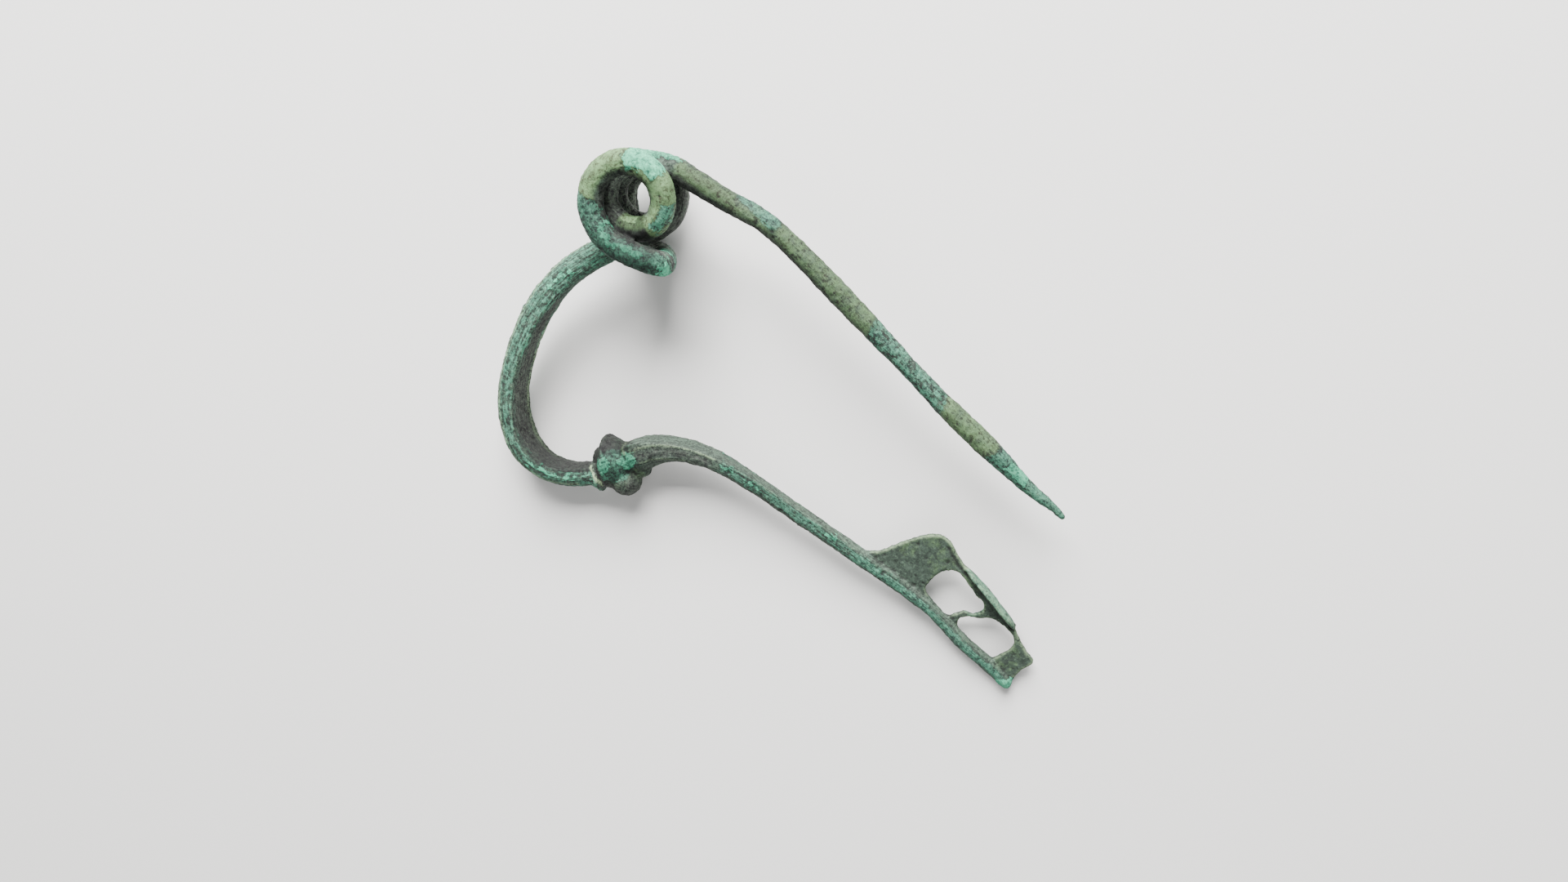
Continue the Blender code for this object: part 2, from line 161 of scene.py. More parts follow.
def bow():
    rows = [
        (0.3176, -0.7407, 0.0, 0.552, 1.037, 0.3), (0.3018, -0.8474, 0.0, 0.655, 1.111, 0.5),
        (0.2822, -0.9185, 0.0, 0.776, 1.074, 0.7), (0.252, -0.9748, 0.0, 0.879, 1.0, 0.8),
        (0.206, -1.0, 0.0, 1.0, 1.0, 0.9), (0.1444, -0.9526, 0.0, 1.0, 1.0, 0.9),
        (0.0945, -0.8474, 0.0, 1.0, 1.0, 0.9), (0.0564, -0.7111, 0.0, 0.966, 1.037, 0.9),
        (0.0282, -0.557, -0.065, 0.845, 1.185, 0.8), (0.0197, -0.4089, -0.161, 0.741, 1.259, 0.5),
        (0.0256, -0.2756, -0.29, 0.638, 1.259, 0.2), (0.0407, -0.1363, -0.355, 0.552, 1.185, 0.0),
    ]
    return stations_at([(*place, wide * BOW_WIDTH, thick * BOW_THICKNESS, flat, 0.0)
                        for *place, wide, thick, flat in rows])


print("stations of the foot, stem and bow:", len(foot_and_stem() + bow()))

# %% [markdown]
# The spring follows rules of winding: an angle gives the place on the turn, and the depth follows the
# angle. Two turns wind away behind the bow. The wire crosses inside the bow as a chord, bends round to the
# near side, and winds one flat near turn and one inner turn that lets go into the pin.

# %% The spring and the pin
def round_wire(x, y, z):
    return (x, y, z, WIRE, WIRE, 0.0, 0.0)


def ease(share):
    return share * share * (3.0 - 2.0 * share)


def blend(start, end, share):
    return start + (end - start) * share


def looked_up(places, pairs):
    starts, values = zip(*pairs)
    return np.interp(places, starts, values)


def on_turn(centre, radius, degrees):
    angle = math.radians(degrees)
    return centre[0] + radius * math.cos(angle), centre[1] + radius * math.sin(angle)


def far_turns():
    last = LEG_JOINS_AT - CHORD_LEAD + TURN
    depths = [
        (BOW_JOINS_AT, -0.338), (60.0, -0.431), (106.0, -0.538), (180.0, -0.6), (225.0, -0.646),
        (250.0, -0.8), (275.0, -1.015), (300.0, -1.277), (326.0, -1.354), (BOW_JOINS_AT + TURN, -1.385),
        (106.0 + TURN, -1.538), (180.0 + TURN, -1.631), (last, -1.815),
    ]
    count = round((last - BOW_JOINS_AT) / COIL_STEP)
    stations = []
    for index in range(count + 1):
        angle = blend(BOW_JOINS_AT, last, index / count)
        tighter = min(1.0, (angle - BOW_JOINS_AT) / TURN)
        radius = blend(NEAR_RADIUS, FAR_RADIUS, tighter)
        middle = (FAR_OFFSET[0] * tighter, FAR_OFFSET[1] * tighter)
        stations.append(round_wire(*on_turn(middle, radius, angle), PITCH * looked_up(angle, depths)))
    return stations


def chord_and_leg():
    route = [
        (-0.024, -1.241, -2.015), (0.554, -1.422, -2.092), (1.06, -1.325, -1.969), (1.422, -1.084, -1.477),
        (1.687, -0.807, -0.738), (1.867, -0.627, 0.062), (1.952, -0.554, 0.646), (1.831, -0.566, 1.262),
        (1.47, -0.771, 1.5), (1.06, -1.012, 1.5), (0.53, -1.217, 1.5), (-0.048, -1.193, 1.5),
    ]
    return [round_wire(x * NEAR_RADIUS, y * NEAR_RADIUS, depth * PITCH) for x, y, depth in route]


def near_turns():
    total = LEG_JOINS_AT + TURN - PIN_LEAVES_AT
    count = round(total / COIL_STEP)
    radii = [
        (0.0, NEAR_RADIUS + LEG_OPENING), (0.12 * total, NEAR_RADIUS), (0.38 * total, NEAR_RADIUS),
        (0.59 * total, 0.904 * NEAR_RADIUS), (0.76 * total, 0.94 * NEAR_RADIUS),
        (total, 0.976 * NEAR_RADIUS),
    ]
    stations = []
    for index in range(count + 1):
        wound = total * index / count
        dive = min(1.0, max(0.0, (wound - DIVE_FROM) / (DIVE_TO - DIVE_FROM)))
        depth = blend(NEAR_PLANE, INNER_PLANE, ease(dive))
        place = on_turn(NEAR_CENTRE, looked_up(wound, radii), LEG_JOINS_AT - wound)
        stations.append(round_wire(*place, depth))
    return stations


def pin():
    route = [
        (0.0059, 0.3, 1.0), (0.0387, 0.3632, 0.919), (0.0925, 0.4562, 0.855), (0.1444, 0.5568, 0.839),
        (0.1759, 0.5973, 0.839), (0.2428, 0.6459, 0.855), (0.315, 0.6865, 0.887), (0.3845, 0.7232, 0.839),
        (0.4567, 0.7622, 0.742), (0.5302, 0.8, 0.774), (0.5643, 0.8216, 0.806), (0.6352, 0.873, 0.742),
        (0.6706, 0.8973, 0.613), (0.7087, 0.9216, 0.452), (0.7415, 0.9514, 0.355), (0.7703, 0.9838, 0.258),
        (0.79, 0.9989, 0.194), (0.794, 1.0016, 0.097),
    ]
    return [(x * LENGTH, y * PIN_RISE, INNER_PLANE, size * WIRE, size * WIRE, 0.0, 0.0)
            for x, y, size in route]


coil_and_pin = far_turns() + chord_and_leg() + near_turns() + pin()
print("stations of the spring and the pin:", len(coil_and_pin))

# %% [markdown]
# A smooth curve is laid through the stations in steps of a quarter of a millimetre. Each step also needs
# two directions, across the brooch and towards the inside of the bow. They are carried along from the foot
# without twisting, so that the bow's flat inner face never turns over. From the near turn on the wire is
# round, and they follow from its run alone, so that they point out of the spring and up from the pin.

# %% The fine path
PATH_STEP = 0.25


def knot_point(before, start, end, after, share):
    first = (start.xyz - before.xyz).length ** 0.5
    middle = (end.xyz - start.xyz).length ** 0.5
    last = (after.xyz - end.xyz).length ** 0.5
    leave = (start - before) / first - (end - before) / (first + middle) + (end - start) / middle
    arrive = (end - start) / middle - (after - start) / (middle + last) + (after - end) / last
    square = share * share
    cube = square * share
    point = start * (2 * cube - 3 * square + 1) + end * (3 * square - 2 * cube)
    return point + (leave * (cube - 2 * square + share) + arrive * (cube - square)) * middle


def smooth(stations):
    rows = [Vector(row) for row in stations]
    rows = [rows[0] * 2.0 - rows[1]] + rows + [rows[-1] * 2.0 - rows[-2]]
    path = []
    for index in range(1, len(rows) - 2):
        before, start, end, after = rows[index - 1:index + 3]
        count = max(1, round((end.xyz - start.xyz).length / PATH_STEP))
        for part in range(count):
            path.append(knot_point(before, start, end, after, part / count))
    path.append(rows[-2])
    return path


path = smooth(foot_and_stem() + bow() + coil_and_pin)
centres = np.array([row.xyz for row in path])
ahead = np.roll(centres, -1, axis=0)
ahead[-1] = centres[-1]
behind = np.roll(centres, 1, axis=0)
behind[0] = centres[0]
runs = (ahead - behind) / np.linalg.norm(ahead - behind, axis=1)[:, None]
lengths = np.concatenate([[0.0], np.cumsum(np.linalg.norm(np.diff(centres, axis=0), axis=1))])


def carried_frames():
    across = np.array([0.0, 0.0, 1.0])
    sides = []
    for run in runs:
        across = across - run * across.dot(run)
        across = across / np.linalg.norm(across)
        sides.append(across)
    sides = np.array(sides)
    return sides, np.cross(runs, sides)


def plain_frames():
    outwards = np.cross(runs, (0.0, 0.0, -1.0))
    outwards = outwards / np.linalg.norm(outwards, axis=1)[:, None]
    return np.cross(outwards, runs), outwards


NEAR_TURN_FROM = 169.0
sides, inwards = carried_frames()
near_turn = lengths > NEAR_TURN_FROM
plain_sides, plain_inwards = plain_frames()
sides[near_turn] = plain_sides[near_turn]
inwards[near_turn] = plain_inwards[near_turn]
print("path:", len(path), "steps,", round(lengths[-1], 1), "mm of metal from foot to pin point")

# %% [markdown]
# The section of foot, stem and bow changes: round outside the bow, flat inside it, ridged under the stem.
# Rings of that section joined in order make a closed skin, in plain mesh code because every ring is
# different.

# %% The bar of foot, stem and bow
SECTION_POINTS = 48
BAR_ENDS_AT_STATION = len(foot_and_stem() + bow()) + 2


def reach(across, inward, flat, ridge):
    if inward >= 0.0:
        return blend(1.0, 1.0 / max(abs(across), inward), flat)
    slant = RIDGE_SLANT * (abs(across) - inward)
    return blend(1.0, 1.0 / max(abs(across), slant, -inward), ridge)


def section(width, thickness, flat, ridge):
    outline = []
    for index in range(SECTION_POINTS):
        angle = math.tau * index / SECTION_POINTS
        across, inward = math.cos(angle), math.sin(angle)
        out = reach(across, inward, flat, ridge)
        outline.append((0.5 * width * out * across, 0.5 * thickness * out * inward))
    return outline


def join_rings(build, rings):
    for first, second in zip(rings, rings[1:]):
        for side in range(len(first)):
            after = (side + 1) % len(first)
            build.faces.new((first[side], first[after], second[after], second[side]))
    for ring in (rings[0], rings[-1]):
        build.faces.new(ring)


def add_object(name, data):
    made = bpy.data.objects.new(name, data)
    bpy.context.collection.objects.link(made)
    return made


def shape_of(name, build):
    mesh = bpy.data.meshes.new(name)
    build.to_mesh(mesh)
    build.free()
    return add_object(name, mesh)


def finish_mesh(name, build):
    bmesh.ops.recalc_face_normals(build, faces=build.faces[:])
    return shape_of(name, build)


def bar():
    last_station = (foot_and_stem() + bow() + far_turns())[BAR_ENDS_AT_STATION]
    end = int(np.argmin(np.linalg.norm(centres - last_station[:3], axis=1)))
    build = bmesh.new()
    rings = []
    for index in range(end + 1):
        middle, across, inward = Vector(centres[index]), Vector(sides[index]), Vector(inwards[index])
        outline = section(*path[index][3:7])
        rings.append([build.verts.new(middle + across * out + inward * inner) for out, inner in outline])
    join_rings(build, rings)
    return finish_mesh("bar", build), end


bar_of_bow, bar_end = bar()
print("bar:", len(bar_of_bow.data.polygons), "faces up to step", bar_end)

# %% [markdown]
# Maths in node trees is easier to read as sums. This class wraps one output of a node and adds a Math node
# for each sign in an expression. One helper makes every node: it sets its options, then fills or links its
# sockets.

# %% Node trees as sums
class Amount:
    def __init__(self, tree, socket):
        self.tree = tree
        self.socket = socket

    def maths(self, operation, *others):
        return add_node(self.tree, "ShaderNodeMath", [self, *others], operation=operation)

    def __add__(self, other):
        return self.maths("ADD", other)

    def __sub__(self, other):
        return self.maths("SUBTRACT", other)

    def __mul__(self, other):
        return self.maths("MULTIPLY", other)

    def __rsub__(self, other):
        return add_node(self.tree, "ShaderNodeMath", [other, self], operation="SUBTRACT")

    __radd__ = __add__

    def most(self, other):
        return self.maths("MAXIMUM", other)

    def step(self, low, high):
        inputs = {"Value": self, "From Min": low, "From Max": high}
        return add_node(self.tree, "ShaderNodeMapRange", inputs, interpolation_type="SMOOTHSTEP")


def fill(tree, socket, value):
    if isinstance(value, Amount):
        tree.links.new(value.socket, socket)
    else:
        socket.default_value = value


def add_node(tree, kind, inputs=(), output=None, **settings):
    node = tree.nodes.new(kind)
    for name, value in settings.items():
        setattr(node, name, value)
    open_inputs = [socket for socket in node.inputs if socket.enabled]
    if isinstance(inputs, dict):
        named = {socket.name: socket for socket in reversed(open_inputs)}
        pairs = [(named[name], value) for name, value in inputs.items()]
    else:
        pairs = zip(open_inputs, inputs)
    for socket, value in pairs:
        fill(tree, socket, value)
    outs = [socket for socket in node.outputs if socket.enabled]
    found = [socket for socket in outs if socket.name == output] if output else outs
    return Amount(tree, found[0]) if found else node


# %% [markdown]
# The spring and the pin are one round wire that follows the path, so Geometry Nodes make them: the steps
# become a curve, and a circle is swept along it, scaled at each step by the wire's own thickness.

# %% A tree that sweeps a wire
def new_tree(name, sockets):
    tree = bpy.data.node_groups.new(name, "GeometryNodeTree")
    tree.interface.new_socket("Geometry", in_out="OUTPUT", socket_type="NodeSocketGeometry")
    tree.interface.new_socket("Geometry", in_out="INPUT", socket_type="NodeSocketGeometry")
    for label, kind in sockets:
        tree.interface.new_socket(label, in_out="INPUT", socket_type="NodeSocket" + kind)
    group = tree.nodes.new("NodeGroupInput")
    return tree, {socket.name: Amount(tree, socket) for socket in group.outputs if socket.name}


def end_tree(tree, geometry, material):
    real = add_node(tree, "GeometryNodeRealizeInstances", {"Geometry": geometry})
    done = add_node(tree, "GeometryNodeSetMaterial", {"Geometry": real, "Material": material})
    add_node(tree, "NodeGroupOutput", [done])


def run_tree(shape, tree, values):
    step = shape.modifiers.new(tree.name, "NODES")
    step.node_group = tree
    for item in tree.interface.items_tree:
        if item.item_type == "SOCKET" and item.in_out == "INPUT" and item.name in values:
            step[item.identifier] = values[item.name]
    return settle(shape)


def settle(shape):
    bpy.context.view_layer.update()
    evaluated = shape.evaluated_get(bpy.context.evaluated_depsgraph_get())
    mesh = bpy.data.meshes.new_from_object(evaluated)
    shape.modifiers.clear()
    shape.data = mesh
    return shape


def attribute(tree, name):
    return add_node(tree, "GeometryNodeInputNamedAttribute", {"Name": name}, "Attribute")


def wire_tree():
    tree, given = new_tree("wire_along_a_path", [("Sides", "Int"), ("Material", "Material")])
    curve = add_node(tree, "GeometryNodeMeshToCurve", {"Mesh": given["Geometry"]})
    inputs = {"Resolution": given["Sides"], "Radius": 1.0}
    circle = add_node(tree, "GeometryNodeCurvePrimitiveCircle", inputs)
    size = attribute(tree, "thickness") * 0.5
    inputs = {"Curve": curve, "Profile Curve": circle, "Scale": size, "Fill Caps": True}
    skin = add_node(tree, "GeometryNodeCurveToMesh", inputs)
    end_tree(tree, skin, given["Material"])
    return tree


WIRE_SIDES = 40
WIRE_LAP = 12
POINT_WIDTH = 0.6
POINT_SWELL = [(264.0, 1.0), (276.0, 1.25), (284.0, 1.4)]


def path_mesh(name, start):
    mesh = bpy.data.meshes.new(name)
    count = len(centres) - start
    mesh.from_pydata(centres[start:].tolist(), [(index, index + 1) for index in range(count - 1)], [])
    swell = looked_up(lengths[start:], POINT_SWELL)
    store(mesh, "thickness", np.maximum(swell * [row[4] for row in path[start:]], POINT_WIDTH))
    return mesh


def store(mesh, name, values):
    layer = mesh.attributes.new(name, "FLOAT", "POINT")
    layer.data.foreach_set("value", np.asarray(values, dtype=np.float32))


bronze = bpy.data.materials.new("green_bronze_skin")
wire = add_object("wire", path_mesh("wire", bar_end - WIRE_LAP))
run_tree(wire, wire_tree(), {"Sides": WIRE_SIDES, "Material": bronze})
print("wire:", len(wire.data.polygons), "faces")

# %% [markdown]
# The knob, its collar and the lobe under it were turned or filed round the bar. They are profiles spun
# about a leaning axis. The knob's rim is a narrow ridge, and the collar carries a thin raised line. Two
# small lumps fill the corners where the lobe flows into the knob and the stem.

# %% The knob, the collar and the lobe
TURNED_SIDES = 96


def turned(name, profile, size, centre, axis_angle):
    build = bmesh.new()
    axis = Vector((math.cos(math.radians(axis_angle)), math.sin(math.radians(axis_angle)), 0.0))
    side_way = Vector((-axis.y, axis.x, 0.0))
    middle = Vector((*centre, 0.0))
    rings = []
    for along, radius in profile:
        ring = []
        for index in range(TURNED_SIDES):
            angle = math.tau * index / TURNED_SIDES
            out = side_way * math.cos(angle) + Vector((0.0, 0.0, 1.0)) * math.sin(angle)
            ring.append(build.verts.new(middle + (axis * along + out * radius) * size))
        rings.append(ring)
    join_rings(build, rings)
    return finish_mesh(name, build)


def knob():
    profile = [
        (-0.514, 0.5), (-0.343, 0.58), (-0.2, 0.74), (-0.15, 0.9), (-0.114, 0.97), (-0.05, 1.01),
        (0.0, 1.02), (0.05, 1.0), (0.09, 0.96), (0.15, 0.94), (0.25, 0.9), (0.4, 0.82), (0.55, 0.73),
        (0.714, 0.66), (1.029, 0.45),
    ]
    return turned("knob", profile, KNOB_RADIUS, KNOB_CENTRE, KNOB_AXIS)


def collar():
    profile = [
        (-0.59, 0.6), (-0.29, 0.85), (-0.17, 0.92), (-0.1, 1.03), (0.0, 1.06), (0.08, 1.03), (0.14, 0.92),
        (0.29, 0.8), (0.73, 0.7),
    ]
    return turned("collar", profile, COLLAR_RADIUS, COLLAR_CENTRE, KNOB_AXIS + COLLAR_TILT)


def lump(name, radius, centre, swell=1.0):
    steps = TURNED_SIDES // 2
    angles = [math.pi * index / steps for index in range(1, steps)]
    profile = [(-math.cos(angle), swell * math.sin(angle)) for angle in angles]
    return turned(name, profile, radius, centre, KNOB_AXIS + LOBE_TILT)


KNOB_FILL = (0.33 * LENGTH, -0.733 * BOW_HEIGHT)
KNOB_FILL_RADIUS = 2.2
STEM_FILL = (0.349 * LENGTH, -0.652 * BOW_HEIGHT)
STEM_FILL_RADIUS = 1.2
turned_parts = [
    knob(), collar(), lump("lobe", LOBE_RADIUS, LOBE_CENTRE, LOBE_SWELL),
    lump("knob_fill", KNOB_FILL_RADIUS, KNOB_FILL), lump("stem_fill", STEM_FILL_RADIUS, STEM_FILL),
]
print("turned parts:", [part.name for part in turned_parts])

# %% [markdown]
# The catch plate was hammered thin, pierced twice and folded at its upper edge into a gutter for the pin.
# Its outline is a smooth curve through a few corners. The windows are cut with Booleans while it is a plain
# slab.

# %% The catch plate
OUTLINE_STEPS = 12
WINDOW_CUTTER = 4.0 * PLATE

PLATE_OUTLINE = [
    (0.6627, -0.1748), (0.685, -0.0919), (0.6955, 0.0178), (0.7047, 0.0919), (0.7178, 0.1393),
    (0.7349, 0.1556), (0.7638, 0.1481), (0.79, 0.1467), (0.8333, 0.16), (0.8793, 0.163),
    (0.9108, 0.16), (0.9344, 0.1481), (0.9633, 0.1393), (0.9816, 0.1393), (0.9843, 0.083),
    (0.9895, 0.0385), (0.9974, 0.0089), (0.9606, -0.0089), (0.8911, -0.0385), (0.8189, -0.0681),
    (0.748, -0.1096),
]
WINDOW_BY_STEM = [
    (0.7822, -0.0296), (0.773, 0.0163), (0.773, 0.0741), (0.7848, 0.1081), (0.811, 0.1141),
    (0.8346, 0.1111), (0.8517, 0.117), (0.8629, 0.0993), (0.8596, 0.0622), (0.8478, 0.0385),
    (0.8438, 0.0059), (0.8386, -0.0267), (0.8163, -0.0341),
]
WINDOW_BY_FOOT = [
    (0.8556, 0.0059), (0.8589, 0.037), (0.8707, 0.0667), (0.8806, 0.1052), (0.899, 0.1259),
    (0.9265, 0.1319), (0.9396, 0.1141), (0.9436, 0.0593), (0.9409, 0.0089), (0.9304, -0.0059),
    (0.895, -0.0133), (0.8661, -0.0178),
]


def round_outline(outline):
    count = len(outline)
    corners = [Vector((x * LENGTH, y * BOW_HEIGHT, 0.0)) for x, y in outline]
    points = []
    for index in range(count):
        before, start, end, after = (corners[(index + shift) % count] for shift in (-1, 0, 1, 2))
        for part in range(OUTLINE_STEPS):
            points.append(knot_point(before, start, end, after, part / OUTLINE_STEPS))
    return points


def slab(name, outline, thickness):
    build = bmesh.new()
    face = build.faces.new([build.verts.new((p.x, p.y, -0.5 * thickness)) for p in round_outline(outline)])
    extruded = bmesh.ops.extrude_face_region(build, geom=[face])
    for item in extruded["geom"]:
        if isinstance(item, bmesh.types.BMVert):
            item.co.z += thickness
    return finish_mesh(name, build)


def cut(target, cutter):
    step = target.modifiers.new(cutter.name, "BOOLEAN")
    step.operation = "DIFFERENCE"
    step.solver = "EXACT"
    step.object = cutter
    settle(target)
    bpy.data.objects.remove(cutter, do_unlink=True)


plate = slab("catch_plate", PLATE_OUTLINE, PLATE)
cut(plate, slab("window_by_stem", WINDOW_BY_STEM, WINDOW_CUTTER))
cut(plate, slab("window_by_foot", WINDOW_BY_FOOT, WINDOW_CUTTER))
print("catch plate:", len(plate.data.vertices), "corners")

# %% [markdown]
# The gutter rises out of the plate's edge, grows to its full height and dies away before the foot. Its fold
# is a small closed outline in Y and Z, repeated at each place and scaled by how far it has grown.

# %% The gutter
GUTTER_RUNS = [
    (0.7874, 0.1452, 0.35), (0.8031, 0.1511, 0.8), (0.8294, 0.1585, 1.0), (0.8727, 0.1615, 1.0),
    (0.8976, 0.1615, 0.8), (0.9147, 0.157, 0.35),
]
GUTTER_STEPS = 12


def gutter_fold(edge, share):
    height = GUTTER_HEIGHT * share
    root = 0.4 * PLATE
    lip = 0.95 * height - min(GUTTER_WALL, 0.3 * height)
    outside = edge + GUTTER_OUT
    inside = outside - GUTTER_WALL
    back = edge - GUTTER_BACK
    return [
        (back, -root), (edge + 0.2 * GUTTER_OUT, -root), (outside, 0.35 * height),
        (edge + 0.7 * GUTTER_OUT, 0.85 * height), (edge - 0.2 * GUTTER_OUT, height),
        (back, 0.95 * height), (back, lip), (inside, 0.95 * lip),
        (inside, blend(root, lip, 0.3)), (back, root),
    ]


def gutter():
    runs_of_fold = [Vector(run) for run in GUTTER_RUNS]
    build = bmesh.new()
    rings = []
    for first, second in zip(runs_of_fold, runs_of_fold[1:]):
        for part in range(GUTTER_STEPS):
            x, y, share = first.lerp(second, part / GUTTER_STEPS)
            fold = gutter_fold(y * BOW_HEIGHT, share)
            rings.append([build.verts.new((x * LENGTH, side, up)) for side, up in fold])
    join_rings(build, rings)
    return finish_mesh("gutter", build)


fold_of_plate = gutter()
print("gutter:", len(fold_of_plate.data.polygons), "faces")

# %% [markdown]
# Now the parts become one skin. A voxel remesh keeps the outside of all that overlaps and leaves the soft
# fillets of casting and corrosion. The corners by the two small lumps are evened once more.

# %% One skin
VOXEL = 0.205
SKIN_EVENING = 2
FILLET_EVENING = 12
FILLETS = [((*KNOB_FILL, 1.9), 1.7), ((*STEM_FILL, 1.0), 1.6)]


def join_parts(name, parts):
    build = bmesh.new()
    for part in parts:
        build.from_mesh(part.data)
        bpy.data.objects.remove(part, do_unlink=True)
    return shape_of(name, build)


def remeshed(shape):
    grid = shape.modifiers.new("voxels", "REMESH")
    grid.mode = "VOXEL"
    grid.voxel_size = VOXEL
    even = shape.modifiers.new("even", "SMOOTH")
    even.factor = 0.5
    even.iterations = SKIN_EVENING
    return settle(shape)


def smoothed_at(shape, spots):
    near = [point.index for point in shape.data.vertices
            if any((point.co - Vector(middle)).length < radius for middle, radius in spots)]
    group = shape.vertex_groups.new(name="fillets")
    group.add(near, 1.0, "REPLACE")
    even = shape.modifiers.new("even", "SMOOTH")
    even.vertex_group = group.name
    even.iterations = FILLET_EVENING
    settle(shape)
    shape.vertex_groups.clear()


skin = remeshed(join_parts("brooch_skin", [bar_of_bow, wire, *turned_parts, plate, fold_of_plate]))
smoothed_at(skin, FILLETS)
print("skin:", len(skin.data.vertices), "points,", 2 * len(skin.data.polygons), "triangles")

# %% [markdown]
# To paint and carve along the metal, every point of the skin has to know where it is on the bar: how far
# along from the foot, and how far round towards the inner face. The nearest step of the path tells both.

# %% Where each point is on the bar
def skin_points(mesh):
    flat = np.zeros(len(mesh.vertices) * 3, dtype=np.float32)
    mesh.vertices.foreach_get("co", flat)
    return flat.reshape(-1, 3).astype(float)


def nearest_steps(points):
    tree = kdtree.KDTree(len(centres))
    for index, middle in enumerate(centres):
        tree.insert(middle, index)
    tree.balance()
    return np.array([tree.find(point)[1] for point in points])


points = skin_points(skin.data)
steps = nearest_steps(points)
offsets = points - centres[steps]
slide = np.einsum("ij,ij->i", offsets, runs[steps])
along = lengths[steps] + slide
distance = np.linalg.norm(offsets, axis=1) + 1e-9
inner = np.einsum("ij,ij->i", offsets, inwards[steps]) / distance
side = np.einsum("ij,ij->i", offsets, sides[steps]) / distance
print("along the bar:", round(along.min(), 1), "to", round(along.max(), 1), "mm")

# %% [markdown]
# Each finish covers patches of the bar. A patch is told as a start and an end in millimetres along the
# metal, and by how far it reaches round at both ends: 1 is the middle of the inner face and -1 of the outer
# one. A slanted patch has oblique ends, a ball is a spot in space, a thin patch frays all over because it
# is never deep, and a seen one stays off the far side. What is stored is how deep inside a patch each point
# lies.

# %% Where the finishes lie
ROUND_SCALE = 1.5
FAR_OUTSIDE = -3.0
DEEP_INSIDE = 3.0
ALL_ROUND = (-2.0, 2.0)
THIN = 0.1
FAINT = -0.2
FAINT_SPOTS = [
    (53.6, 0.6, 0.4, 1.1), (56.0, 4.6, 0.4, 1.0), (58.2, 2.6, 0.4, 1.6), (61.8, 3.4, 0.4, 1.3),
    (72.6, 2.2, 0.4, 1.4), (54.6, 3.6, 0.4, 0.8), (27.2, -24.2, 1.8, 2.2),
]
NEAR_REACH = 0.45
SEAM_AT = 185.27
SEAM_SLANT = 0.63
RING_FROM = 184.0
TEAL_AGAIN_FROM = 197.0


def patch(start, end, round_at_start=ALL_ROUND, round_at_end=None):
    share = np.clip((along - start) / (end - start), 0.0, 1.0)
    low, high = round_at_start
    low_end, high_end = round_at_end or round_at_start
    reach_round = np.minimum(inner - blend(low, low_end, share), blend(high, high_end, share) - inner)
    return np.minimum(np.minimum(along - start, end - along), reach_round * ROUND_SCALE)


def seen(place):
    return np.minimum(place, (offsets[:, 2] / distance + NEAR_REACH) * ROUND_SCALE)


def slanted(start, end, slant):
    return np.minimum(along - start - slant * inner, end + slant * inner - along)


def ball(x, y, z, radius):
    return radius - np.linalg.norm(points - np.array((x, y, z)), axis=1)


def thin(place):
    return np.minimum(place, THIN)


def covered(*places):
    return np.clip(np.maximum.reduce(places), FAR_OUTSIDE, DEEP_INSIDE)


mint = covered(
    seen(patch(192.2, 195.9, (-0.5, 1.6), (-0.15, 1.6))),
    seen(patch(216.0, 222.6, (0.36, 1.6), (0.72, 1.6))),
    ball(23.2, -24.6, 3.2, 1.0), ball(24.6, -22.1, 2.1, 1.1), ball(75.6, 0.0, 0.5, 1.2),
    patch(29.0, 31.0, (0.2, 0.6)), patch(40.0, 46.5, (0.05, 0.45), (0.25, 0.55)) - 0.1,
    patch(66.0, 73.5, (0.02, 0.34)) - 0.15, patch(98.5, 102.5, (-0.2, 0.4)) - 0.35,
    patch(171.5, 173.8, (-0.6, 0.7)), patch(175.0, 181.0, (-0.8, 0.2)) - 0.45,
    patch(180.9, 182.2, (-0.95, -0.3)), patch(274.5, 277.5, (-0.2, 1.2)) - 0.1,
)
teal = covered(
    patch(170.0, 186.5, (-0.85, 1.6)), patch(198.9, 202.0, (0.1, 1.05), (-0.1, 0.9)),
    patch(230.2, 236.0, (0.75, 1.7), (-0.15, 1.7)), thin(slanted(251.8, 264.2, -0.5)),
    thin(slanted(272.3, 290.0, 0.5)) + 0.2, thin(patch(63.8, 84.0, (-1.6, 0.33))),
    thin(patch(84.0, 94.0, (-1.6, 0.33), (-1.6, 0.6))), thin(patch(94.0, 109.0, (-1.6, 0.6), (-1.6, 1.1))),
    patch(-2.0, 26.0, (-0.7, 0.5)), thin(patch(24.0, 46.0, (-0.5, 0.5), (-0.1, 0.55))) + 0.1,
    patch(57.4, 61.0, (-0.2, 0.55)), thin(patch(147.0, 168.0, (-0.2, 2.0))),
    ball(24.1, -23.7, 2.9, 2.3), ball(64.6, 2.6, 0.0, 1.4),
)
past_the_seam = np.maximum(SEAM_AT + SEAM_SLANT * inner - along, along - TEAL_AGAIN_FROM)
teal = np.where(along > RING_FROM, np.minimum(teal, past_the_seam), teal)
olive = covered(
    thin(patch(122.0, 148.0, (-0.2, 2.0))), patch(184.0, 192.6, (-0.6, 1.6)),
    patch(192.0, 206.8, (-1.6, 0.2), (-1.6, 0.0)), patch(195.0, 203.5, (-0.4, 1.6)),
    patch(206.0, 211.0, (-1.6, 0.0)) - 0.2, patch(222.5, 230.5, (-0.45, 0.95)),
    thin(patch(230.0, 252.0, (-0.75, 2.0))), thin(slanted(264.0, 272.4, -0.5)) + 0.1,
    np.minimum(np.maximum.reduce([ball(*spot) for spot in FAINT_SPOTS]), FAINT),
)
